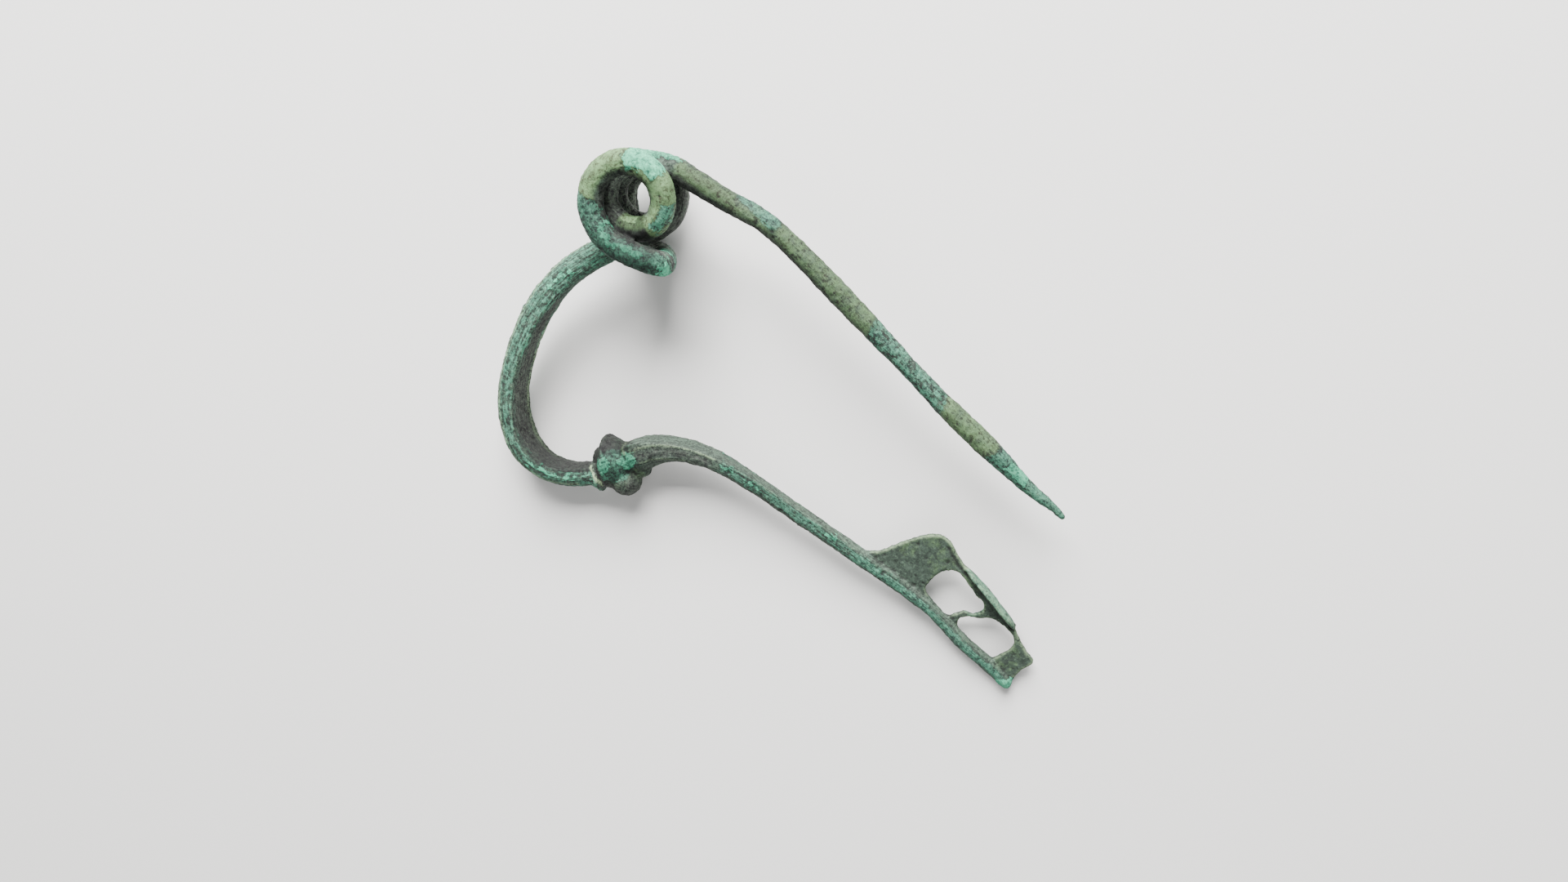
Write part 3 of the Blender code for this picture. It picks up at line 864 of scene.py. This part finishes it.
# Purple-brown patina, partly painted shade: the ring's inner side, the spring's inside and under the pin.
purple_and_painted_shade = covered(
    patch(47.5, 57.4, (-0.12, 0.42)), patch(59.0, 62.0, (-2.0, -0.75)), patch(59.2, 62.0, (0.6, 2.0)),
    patch(61.8, 63.6), patch(64.3, 66.6, (-0.2, 2.0)), ball(59.4, -3.0, 0.4, 1.2) - 0.2,
    ball(28.6, -23.4, 1.6, 1.1), patch(64.0, 86.0, (0.35, 2.0)),
    patch(86.0, 100.0, (0.55, 2.0), (0.85, 2.0)),
    patch(103.0, 106.5, (-0.6, 0.2)) - 0.3, patch(112.0, 168.0), patch(169.0, 202.0, (-2.0, -0.72)),
    patch(173.9, 175.0, (-0.2, 1.1)), patch(202.6, 208.0, (0.0, 2.0)), patch(207.0, 217.5),
    patch(216.0, 226.0, (-2.0, 0.3), (-2.0, -0.3)), patch(225.0, 252.0, (-2.0, -0.45), (-2.0, -0.9)),
)
print("points under mint crust:", int((mint > 0).sum()), "of", len(points))

# %% [markdown]
# The brightness of the patina changes slowly along the bar, partly as the patina's own and partly as painted
# light and shade: the near turn is brightest, the pin, the knob and the plate are duller, the knob's top and
# the bow's hollow get painted shade, and the inside of the spring gets painted light. Hammer and file left
# long streaks on bow and stem. How mottled and how bumpy the metal is varies as well.

# %% Brightness and streaks along the bar
# Brightness along the bar, partly the patina's own and partly painted light and shade.
TONES_AND_PAINTED_LIGHT = [
    (0.0, 0.9), (14.0, 1.0), (26.0, 1.0), (40.0, 0.75), (48.0, 0.78), (56.5, 0.78), (58.5, 0.5), (62.2, 0.5),
    (62.8, 1.2), (64.4, 1.2), (66.0, 0.85), (75.0, 0.9), (84.0, 1.15), (107.0, 1.05), (112.0, 1.0),
    (168.0, 1.1), (170.0, 1.0), (173.5, 1.35), (174.5, 0.33), (179.0, 0.33), (181.0, 0.5), (184.8, 0.66),
    (185.4, 1.0), (198.4, 1.15), (199.4, 1.5), (201.8, 1.5), (202.6, 0.44), (206.0, 0.44), (210.0, 0.8),
    (214.0, 1.2), (219.0, 1.0), (224.5, 0.42), (230.2, 0.42), (231.2, 0.75), (235.0, 0.75), (236.0, 0.52),
    (251.5, 0.56), (252.5, 0.88), (264.2, 0.9), (265.0, 0.64), (272.5, 0.72), (284.0, 0.9),
]
STREAKS = [
    (0.0, 0.7), (30.0, 1.0), (57.0, 1.0), (60.0, 0.3), (63.0, 0.4), (68.0, 1.0), (104.0, 1.0), (112.0, 1.3),
    (125.0, 1.0), (165.0, 0.6), (172.0, 0.2), (216.0, 0.2), (222.0, 0.4),
]
MOTTLES = [
    (57.0, 0.7), (60.0, 1.0), (64.0, 1.0), (67.0, 0.58), (108.0, 0.58), (112.0, 1.0), (168.0, 0.8),
    (186.5, 0.8), (222.0, 0.72), (230.0, 0.82), (284.0, 0.85),
]
# Painted shade in the bow's hollow, easing into painted light further on.
HOLLOW_PAINTED_SHADE = [(64.0, 0.2), (72.0, 0.22), (78.0, 0.6), (84.0, 1.6), (92.0, 1.6)]
RING_SHADE = [(-1.0, 1.1), (-0.6, 0.9), (-0.3, 1.0)]
CLEFT_SHADE = [(-0.1, 1.0), (0.35, 0.4)]
BAR_SHARE = 0.72
BAR_SLACK = -0.05
PLATE_FROM = 0.66 * LENGTH
PLATE_TO = 0.3 * PIN_RISE + 2.0
PLATE_TONE = 0.64
PLATE_STREAKS = 0.2
PLATE_MOTTLE = 0.42
LOBE_TONE = 0.85
# Painted shade on the knob's top.
KNOB_TOP_PAINTED_SHADE = 0.21
# Painted light inside the spring, which lies in shade.
INSIDE_PAINTED_LIGHT = 3.0
BACK_BUMPS = 2.0

BOW_HOLLOW = (64.0, 92.0)
BOW_INSIDE = (64.0, 100.0)
BOW_BACK = (93.0, 108.0)
KNOB_TOP = (57.6, 63.0)
LOBE_SPOT = (27.5, -24.5, 1.0, 2.1)
FAR_TURNS = (112.0, 168.0)
RING = (175.0, 202.0)
CLEFT = (202.6, 216.0)
LAST_TURN = (204.0, 217.0)


def within(values, start, end):
    return (values > start) & (values < end)


def between(start, end):
    return within(along, start, end)


off_bar = distance - np.array([BAR_SHARE * max(row[3], row[4]) for row in path])[steps]
on_plate = (off_bar > BAR_SLACK) & (points[:, 0] > PLATE_FROM) & (points[:, 1] < PLATE_TO)
# The stored tone holds painted light and shade as well as the patina's own brightness.
tone_and_painted_light = np.where(on_plate, PLATE_TONE, looked_up(along, TONES_AND_PAINTED_LIGHT))
for covers, value in (
    (between(*BOW_HOLLOW) & (inner > 0.4), looked_up(along, HOLLOW_PAINTED_SHADE)),
    (ball(*LOBE_SPOT) > 0.0, LOBE_TONE), (between(*KNOB_TOP) & (inner > 0.62), KNOB_TOP_PAINTED_SHADE),
):
    tone_and_painted_light = np.where(covers, value, tone_and_painted_light)
# Painted light inside the spring, painted light and shade on the ring's inner side and in the cleft.
for covers, factor in (
    ((inner < -0.6) & (between(*FAR_TURNS) | between(*LAST_TURN)), INSIDE_PAINTED_LIGHT),
    (between(*RING), looked_up(inner, RING_SHADE)), (between(*CLEFT), looked_up(inner, CLEFT_SHADE)),
):
    tone_and_painted_light = np.where(covers, tone_and_painted_light * factor, tone_and_painted_light)
drawn = np.where(on_plate, PLATE_STREAKS, looked_up(along, STREAKS))
mottle = np.where(on_plate, PLATE_MOTTLE, looked_up(along, MOTTLES))
mottle = np.where(between(*BOW_INSIDE) & (inner > 0.45), 1.0, mottle)
bumpy = np.where(between(*BOW_BACK) & (inner < 0.1), BACK_BUMPS, 1.0)
print("tone from", round(float(tone_and_painted_light.min()), 2), "to", round(float(tone_and_painted_light.max()), 2))

# %% [markdown]
# Some marks are designed, not random: the raised lips of plate and windows, the groove beside the rib,
# pale ridge lines, the collar's bright line, and the channel and lip of the gutter. They are stored as a
# height and as a pale or a dark line. The pale lines are partly painted highlights on raised edges, the
# gutter's lip gets a painted highlight and its channel a painted shadow.

# %% The designed marks
BACK_AT = [
    (66.0, -0.4), (72.0, -0.2), (80.0, -0.18), (87.0, -0.28), (91.0, -0.34), (94.5, -0.45), (98.0, -0.65),
    (101.5, -0.88), (105.0, -1.0),
]
FOLD_ABOVE = 0.5
FOLD_FROM = -0.15
FOLD_TEAL = 0.3
FOLD_TONE = 0.95
HUMP = (56.4, 61.0)
PLATE_RELIEF = 0.5 * PLATE


def outline_distance(outline):
    border = np.array([point.xy for point in round_outline(outline)])
    flat = points[on_plate][:, None, :2] - border
    result = np.full(len(points), DEEP_INSIDE)
    result[on_plate] = np.sqrt((flat ** 2).sum(axis=2)).min(axis=1)
    return result


def line(values, middle, half_width):
    return np.clip(1.0 - np.abs(values - middle) / half_width, 0.0, 1.0)


near_face = np.clip(3.0 * offsets[:, 2] / distance + 0.5, 0.0, 1.0)
plate_edge = outline_distance(PLATE_OUTLINE)
window_edge = np.minimum(outline_distance(WINDOW_BY_STEM), outline_distance(WINDOW_BY_FOOT))
on_near_face = np.clip(points[:, 2] / PLATE_RELIEF, 0.0, 1.0)
hump = within(points[:, 0], *HUMP)
rim_line = line(plate_edge, 0.1, 0.3) * on_near_face
window_line = line(window_edge, 0.05, 0.22) * on_near_face
gutter_places = [(x * LENGTH, y * BOW_HEIGHT) for x, y, share in GUTTER_RUNS]
from_fold = points[:, 1] - looked_up(points[:, 0], gutter_places)
on_gutter = within(points[:, 0], gutter_places[0][0], gutter_places[-1][0]) & (points[:, 2] > FOLD_ABOVE)
gutter_channel = line(from_fold, -0.5, 0.45) * on_gutter
gutter_lip = line(from_fold, 0.2, 0.4) * on_gutter
on_fold = on_gutter & (from_fold > FOLD_FROM)
teal = np.where(on_fold, np.maximum(teal, FOLD_TEAL), teal)
tone_and_painted_light = np.where(on_fold, FOLD_TONE, tone_and_painted_light)
hump_groove = line(plate_edge, 0.62, 0.28) * hump * on_near_face
rib_groove = line(inner, 0.66 - 0.004 * along, 0.1) * between(4.0, 22.0) * on_near_face
ridge_line = line(inner, 0.5, 0.09) * between(47.0, 57.8)
lower_line = line(inner, -0.27, 0.07) * between(49.2, 57.0) * near_face
collar_line = line(along - 0.5 * inner, 63.6, 0.24) * (np.abs(inner) < 0.8)
root_line = line(along, 58.4, 0.3) * (inner > 0.4) * (distance < 3.0)
back_line = line(inner, looked_up(along, BACK_AT), 0.16) * between(66.0, 108.0) * near_face
far_line = line(side, -0.84, 0.1) * between(66.0, 100.0)
seam = line(along - SEAM_SLANT * inner, SEAM_AT, 0.16) * (inner > -0.8)
# Pale lines along lips, ridges and the collar, partly painted highlights on raised edges.
pale_lines_and_highlights = np.clip(0.9 * rim_line + 0.8 * window_line + 0.5 * ridge_line + 0.5 * lower_line + collar_line
               + 0.7 * root_line + 0.5 * back_line + 0.45 * far_line, 0.0, 1.0)
dark_lines_and_painted_shadow = np.clip(hump_groove + rib_groove + 0.8 * seam, 0.0, 1.0)
# Painted shadow in the gutter's channel, under its lip.
dark_lines_and_painted_shadow = np.maximum(dark_lines_and_painted_shadow, np.clip(1.6 * gutter_channel, 0.0, 1.0))
# Painted highlight on the gutter's lip.
pale_lines_and_highlights = np.maximum(pale_lines_and_highlights * (1.0 - on_gutter), 0.35 * gutter_lip)
relief = (-0.3 * gutter_channel + 0.09 * rim_line + 0.05 * window_line - 0.1 * dark_lines_and_painted_shadow
          + 0.06 * (ridge_line + lower_line) + 0.12 * root_line)
marks = dict(
    mint=mint, teal=teal, olive=olive, purple_and_painted_shade=purple_and_painted_shade, inner=inner, side=side, along=along, tone_and_painted_light=tone_and_painted_light,
    drawn=drawn, mottle=mottle, bumpy=bumpy, pale_lines_and_highlights=pale_lines_and_highlights, dark_lines_and_painted_shadow=dark_lines_and_painted_shadow, relief=relief,
)
for name, values in marks.items():
    store(skin.data, name, values)
print("designed marks from", round(relief.min(), 3), "to", round(relief.max(), 3), "mm")

# %% [markdown]
# A second tree carves the corrosion. It makes the bar uneven, as hammering does, raises the mint crust a
# little, sinks round pits, draws the long streaks and roughens the rest. It also measures how much each
# point bulges out, which tells the material where to paint shade in hollows and where edges are paler, as
# wear and painted highlight.

# %% A tree that weathers the skin
def vector(tree, operation, inputs, output=None):
    return add_node(tree, "ShaderNodeVectorMath", inputs, output, operation=operation)


def noise(tree, place, scale, detail, roughness=0.6, output=None):
    inputs = {"Vector": place, "Scale": scale, "Detail": detail, "Roughness": roughness}
    return add_node(tree, "ShaderNodeTexNoise", inputs, output)


def stored(tree, geometry, name, value):
    inputs = {"Geometry": geometry, "Name": name, "Value": value}
    return add_node(tree, "GeometryNodeStoreNamedAttribute", inputs)


def lifted(tree, geometry, height):
    normal = add_node(tree, "GeometryNodeInputNormal")
    offset = vector(tree, "SCALE", {"Vector": normal, "Scale": height})
    return add_node(tree, "GeometryNodeSetPosition", {"Geometry": geometry, "Offset": offset})


def streaks(tree, place_along, inner_share, side_share):
    inputs = [place_along * 0.28, inner_share * 3.6, side_share * 3.6]
    return noise(tree, add_node(tree, "ShaderNodeCombineXYZ", inputs), 1.6, 4.0)


def pits(tree, place, size):
    inputs = {"Vector": place, "Scale": size}
    cells = add_node(tree, "ShaderNodeTexVoronoi", inputs, "Distance")
    where = noise(tree, place, 0.35, 2.0).step(0.5, 0.62)
    return (1.0 - cells.step(0.08, 0.34)) * where


def bulge(tree):
    place = add_node(tree, "GeometryNodeInputPosition")
    inputs = {"Value": place, "Iterations": 5}
    around = add_node(tree, "GeometryNodeBlurAttribute", inputs, data_type="FLOAT_VECTOR")
    away = vector(tree, "SUBTRACT", [place, around])
    normal = add_node(tree, "GeometryNodeInputNormal")
    return vector(tree, "DOT_PRODUCT", [away, normal], "Value")


WEATHER = {
    "Unevenness": 0.25, "Crust Height": 0.04, "Pit Depth": 0.14, "Pit Size": 0.85, "Streak Depth": 0.3,
    "Grain": 0.32,
}


def weathering_tree():
    sockets = [(name, "Float") for name in WEATHER] + [("Material", "Material")]
    tree, given = new_tree("weathered_bronze", sockets)
    place = add_node(tree, "GeometryNodeInputPosition")
    fray = noise(tree, place, 1.2, 5.0) - 0.5
    crust = attribute(tree, "mint") + fray * 3.0
    crust_share = crust.step(-0.1, 0.25)
    uneven = noise(tree, place, 0.45, 1.0) - 0.5
    lumps = noise(tree, place, 1.7, 5.0, 0.65)
    streak = streaks(tree, attribute(tree, "along"), attribute(tree, "inner"), attribute(tree, "side")) - 0.5
    pit = pits(tree, place, given["Pit Size"])
    height = crust_share * given["Crust Height"] * (0.5 + lumps) + uneven * given["Unevenness"]
    height = height - pit * given["Pit Depth"] + streak * given["Streak Depth"] * attribute(tree, "drawn")
    grain = (lumps - 0.5) * attribute(tree, "bumpy") * given["Grain"]
    height = height + grain + attribute(tree, "relief") - given["Crust Height"] * 0.5
    moved = lifted(tree, given["Geometry"], height)
    kept = stored(tree, moved, "bulge", bulge(tree))
    kept = stored(tree, stored(tree, kept, "crust", crust), "pit", pit)
    end_tree(tree, kept, given["Material"])
    return tree


run_tree(skin, weathering_tree(), {**WEATHER, "Material": bronze})
print("weathered skin:", len(skin.data.vertices), "points")

# %% [markdown]
# The skin is moved to where the solid lies, kept within its box and shaded smooth. The largest distance
# between the two tells whether the skin still has the solid's form.

# %% Lay the brooch down
skin.data.transform(LYING)
skin.data.shade_smooth()
laid = np.clip(skin_points(skin.data), solid_box[0], solid_box[1])
skin.data.vertices.foreach_set("co", laid.astype(np.float32).ravel())
skin.data.update()
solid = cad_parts["fibula"]
gaps = [(solid.closest_point_on_mesh(Vector(point))[1] - Vector(point)).length for point in laid[::25]]
print("largest distance from the solid:", round(1000.0 * max(gaps), 2), "mm")

# %% [markdown]
# The patina is a stack of finishes: a mottled grey-green ground, then olive, purple and teal, and mint
# crust on top. Each uses the patches stored above, frayed by noise. Painted shade darkens the hollows, as
# well as dirt in the pits and the dark lines, and convex edges are paler, partly as wear and partly as
# painted highlight. Corroded bronze has little sheen, so the shader's own level is low. Coordinates are in
# millimetres.

# %% The colours of the patina
SHADES = {
    "ground": ((0.014, 0.018, 0.015, 1.0), (0.085, 0.134, 0.096, 1.0)),
    "olive": ((0.034, 0.034, 0.019, 1.0), (0.124, 0.222, 0.095, 1.0)),
    "purple_and_painted_shade": ((0.012, 0.012, 0.013, 1.0), (0.068, 0.08, 0.066, 1.0)),
    "teal": ((0.014, 0.026, 0.022, 1.0), (0.07, 0.238, 0.152, 1.0)),
    "mint": ((0.014, 0.07, 0.045, 1.0), (0.086, 0.425, 0.25, 1.0)),
}
# The purple layer is partly painted shade.
LAYERS = [("olive", 0.35, 0.66), ("purple_and_painted_shade", 0.35, 0.52), ("teal", 0.12, 0.48)]
# Dark of patina lines and dirt in pits, and also painted shade in hollows.
DIRT_AND_PAINTED_SHADE = (0.01, 0.01, 0.009, 1.0)
# Pale of dust and wear, and also painted highlight on convex edges.
RUBBED_AND_HIGHLIGHT = (0.13, 0.215, 0.125, 1.0)
# Pale of the raised lines, partly painted highlight.
PALE_LINE_AND_HIGHLIGHT = (0.26, 0.36, 0.2, 1.0)
NO_LIGHT = (0.0, 0.0, 0.0, 1.0)
SHEEN = 0.3
GRAIN_HEIGHT = 0.00011


def mixed(tree, share, first, second):
    inputs = {"Factor": share, "A": first, "B": second}
    return add_node(tree, "ShaderNodeMix", inputs, data_type="RGBA")


def shaded(tree, name, light):
    return mixed(tree, light, *SHADES[name])


def painted(tree, name):
    return add_node(tree, "ShaderNodeAttribute", output="Fac", attribute_name=name)


def millimetres(tree):
    place = add_node(tree, "ShaderNodeTexCoord", output="Object")
    return vector(tree, "SCALE", {"Vector": place, "Scale": 1.0 / METRES})


def veins(tree, place, warp, scale, width):
    warped = vector(tree, "ADD", [place, warp])
    inputs = {"Vector": warped, "Scale": scale}
    cells = add_node(tree, "ShaderNodeTexVoronoi", inputs, "Distance", feature="DISTANCE_TO_EDGE")
    return 1.0 - cells.step(0.0, width)


def patina(material):
    material.use_nodes = True
    tree = material.node_tree
    shader = tree.nodes["Principled BSDF"]
    place = millimetres(tree)
    blotch = noise(tree, place, 1.0, 4.0, 0.65)
    fine = noise(tree, place, 2.6, 4.0, 0.7)
    speck = noise(tree, place, 5.0, 3.0, 0.6)
    broad = noise(tree, place, 0.45, 4.0, 0.6)
    fray = (noise(tree, place, 1.3, 4.0, 0.65) - 0.5) * 1.8
    warp = noise(tree, place, 1.8, 2.0, 0.5, "Color")
    vein = veins(tree, place, warp, 1.5, 0.16) * fine.step(0.42, 0.6)
    streak = streaks(tree, painted(tree, "along"), painted(tree, "inner") * 2.0, painted(tree, "side") * 2.0)
    drawn_here = painted(tree, "drawn")
    streak = (streak - 0.5) * drawn_here * 2.4
    rough_mix = (blotch - 0.5) * (2.4 - drawn_here * 1.5) + (fine - 0.5) * 2.6 + (speck - 0.5) * 1.4 + streak
    rough_mix = rough_mix * painted(tree, "mottle")

    colour = shaded(tree, "ground", (rough_mix + 0.5).step(0.0, 1.0))
    for name, soft, cover in LAYERS:
        depth = painted(tree, name) + fray + streak * 0.8
        shade = shaded(tree, name, (rough_mix + cover).step(0.1, 0.9))
        border = drawn_here * 0.3 + soft
        covers = (depth + border).step(0.0, border * 2.0) * (1.0 - broad.step(0.5, 0.75) * 0.3)
        colour = mixed(tree, covers, colour, shade)
    teal_rim = 1.0 - (depth + 0.05).maths("ABSOLUTE").step(0.0, 0.16)
    dust = speck.step(0.54, 0.7) * fine.step(0.4, 0.6)
    crust = painted(tree, "crust") + (speck - 0.5) * 0.5 + streak * 0.4
    crust_share = crust.step(-0.05, 0.15)
    rim = crust.step(-0.35, -0.05) * (1.0 - crust_share)
    mint_shade = shaded(tree, "mint", (rough_mix + 0.58).step(0.05, 0.95))
    height = painted(tree, "bulge")
    # Painted shade: hollows, where the skin bulges inwards, are darkened.
    painted_hollow_shade = (height * -1.0).step(0.002, 0.06)
    dirt_and_painted_shade = painted_hollow_shade.most(painted(tree, "pit")).most(painted(tree, "dark_lines_and_painted_shadow"))
    # Convex edges are paler, partly as wear and partly as painted highlight.
    edge = height.step(0.03, 0.12)
    for share, paint in (
        (teal_rim * 0.6, DIRT_AND_PAINTED_SHADE), (dust * 0.5, RUBBED_AND_HIGHLIGHT), (rim * 0.5, DIRT_AND_PAINTED_SHADE), (crust_share * 0.95, mint_shade),
        (vein * 0.35, DIRT_AND_PAINTED_SHADE), (dirt_and_painted_shade * 0.75, DIRT_AND_PAINTED_SHADE), (edge * (rough_mix + 0.5).step(0.2, 0.9) * 0.5, RUBBED_AND_HIGHLIGHT),
        (painted(tree, "pale_lines_and_highlights") * (rough_mix + 0.6).step(0.3, 0.8), PALE_LINE_AND_HIGHLIGHT),
    ):
        colour = mixed(tree, share, colour, paint)
    # The colour is scaled by the tone, which carries painted light and shade.
    inputs = {"Factor": painted(tree, "tone_and_painted_light"), "A": NO_LIGHT, "B": colour}
    toned = add_node(tree, "ShaderNodeMix", inputs, data_type="RGBA", clamp_factor=False)
    rough = 0.82 - fine.step(0.3, 0.7) * 0.14 - edge * 0.12 + crust_share * 0.1
    grain = fine * 0.5 + blotch * 0.5 + crust_share * 0.2 - vein * 0.15 + streak * 0.2
    inputs = {"Strength": 0.7, "Distance": GRAIN_HEIGHT, "Height": grain}
    bump = add_node(tree, "ShaderNodeBump", inputs)
    shader.inputs["Specular IOR Level"].default_value = SHEEN
    for name, value in (("Base Color", toned), ("Roughness", rough), ("Normal", bump)):
        fill(tree, shader.inputs[name], value)
    return len(tree.nodes)


print("patina nodes:", patina(bronze))

# %% [markdown]
# The skin stands in for the imported solid, which is hidden; it rides on the root body and takes the bronze
# finish.

# %% Put the skin in the solid's place
skin.name = "fibula_skin"
skin.data.materials.clear()
skin.data.materials.append(bronze)
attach(skin, "root")
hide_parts("fibula")
print("visible piece:", skin.name)

# %% [markdown]
# The stage is a plain pale floor under soft studio light. A large softbox stands over the top of the
# picture, a weaker one fills from below and the world adds an even glow.

# %% Floor, lights and world
FLOOR_SIZE = 3.0
FLOOR_COLOUR = (0.72, 0.71, 0.69, 1.0)


def floor():
    build = bmesh.new()
    bmesh.ops.create_grid(build, x_segments=1, y_segments=1, size=FLOOR_SIZE / 2.0)
    shape = finish_mesh("floor", build)
    material = bpy.data.materials.new("pale_floor")
    material.use_nodes = True
    shader = material.node_tree.nodes["Principled BSDF"]
    shader.inputs["Base Color"].default_value = FLOOR_COLOUR
    shader.inputs["Roughness"].default_value = 0.9
    shape.data.materials.append(material)


def softbox(name, place, target, size, power):
    light = bpy.data.lights.new(name, "AREA")
    light.shape = "SQUARE"
    light.size = size
    light.energy = power
    lamp = add_object(name, light)
    lamp.location = place
    lamp.rotation_euler = (target - place).to_track_quat("-Z", "Y").to_euler()


# %% [markdown]
# The camera's place was found in the brooch's own frame, so it takes the same lying turn as the metal. It
# looks down on the near side from a little above the pin.

# %% The camera
CAMERA_PLACE = Vector((20.44, 39.85, 123.7))
CAMERA_RIGHT = Vector((0.5979, 0.7736, -0.2100))
CAMERA_UP = Vector((-0.7949, 0.5384, -0.2799))
CAMERA_LENS = 24.44


def camera():
    right = (LYING_TURN @ CAMERA_RIGHT).normalized()
    back = right.cross(LYING_TURN @ CAMERA_UP).normalized()
    up = back.cross(right)
    eye = add_object("camera", bpy.data.cameras.new("camera"))
    eye.data.lens = CAMERA_LENS
    eye.data.clip_start = 0.005
    turn = Matrix((right, up, back)).transposed().to_4x4()
    eye.matrix_world = Matrix.Translation(LYING @ CAMERA_PLACE) @ turn
    bpy.context.scene.camera = eye
    return eye, up


eye, picture_up = camera()
print("camera at", tuple(round(v, 4) for v in eye.location))

# %% [markdown]
# Each softbox stands so far up or down the picture and so high over the floor, and aims at the brooch.

# %% Light the stage
SOFTBOXES = [("key", 0.36, 0.30, 0.30, 11.0), ("fill", -0.30, 0.45, 0.5, 1.5)]
AIM = Vector((0.0, 0.0, 0.005))
GLOW_COLOUR = (0.8, 0.82, 0.85, 1.0)
GLOW = 0.3

floor()
for name, upwards, height, size, power in SOFTBOXES:
    softbox(name, AIM + picture_up * upwards + Vector((0.0, 0.0, height)), AIM, size, power)
world = bpy.data.worlds.new("studio")
world.use_nodes = True
glow = world.node_tree.nodes["Background"].inputs
glow["Color"].default_value = GLOW_COLOUR
glow["Strength"].default_value = GLOW
bpy.context.scene.world = world
print("softboxes:", len(SOFTBOXES))
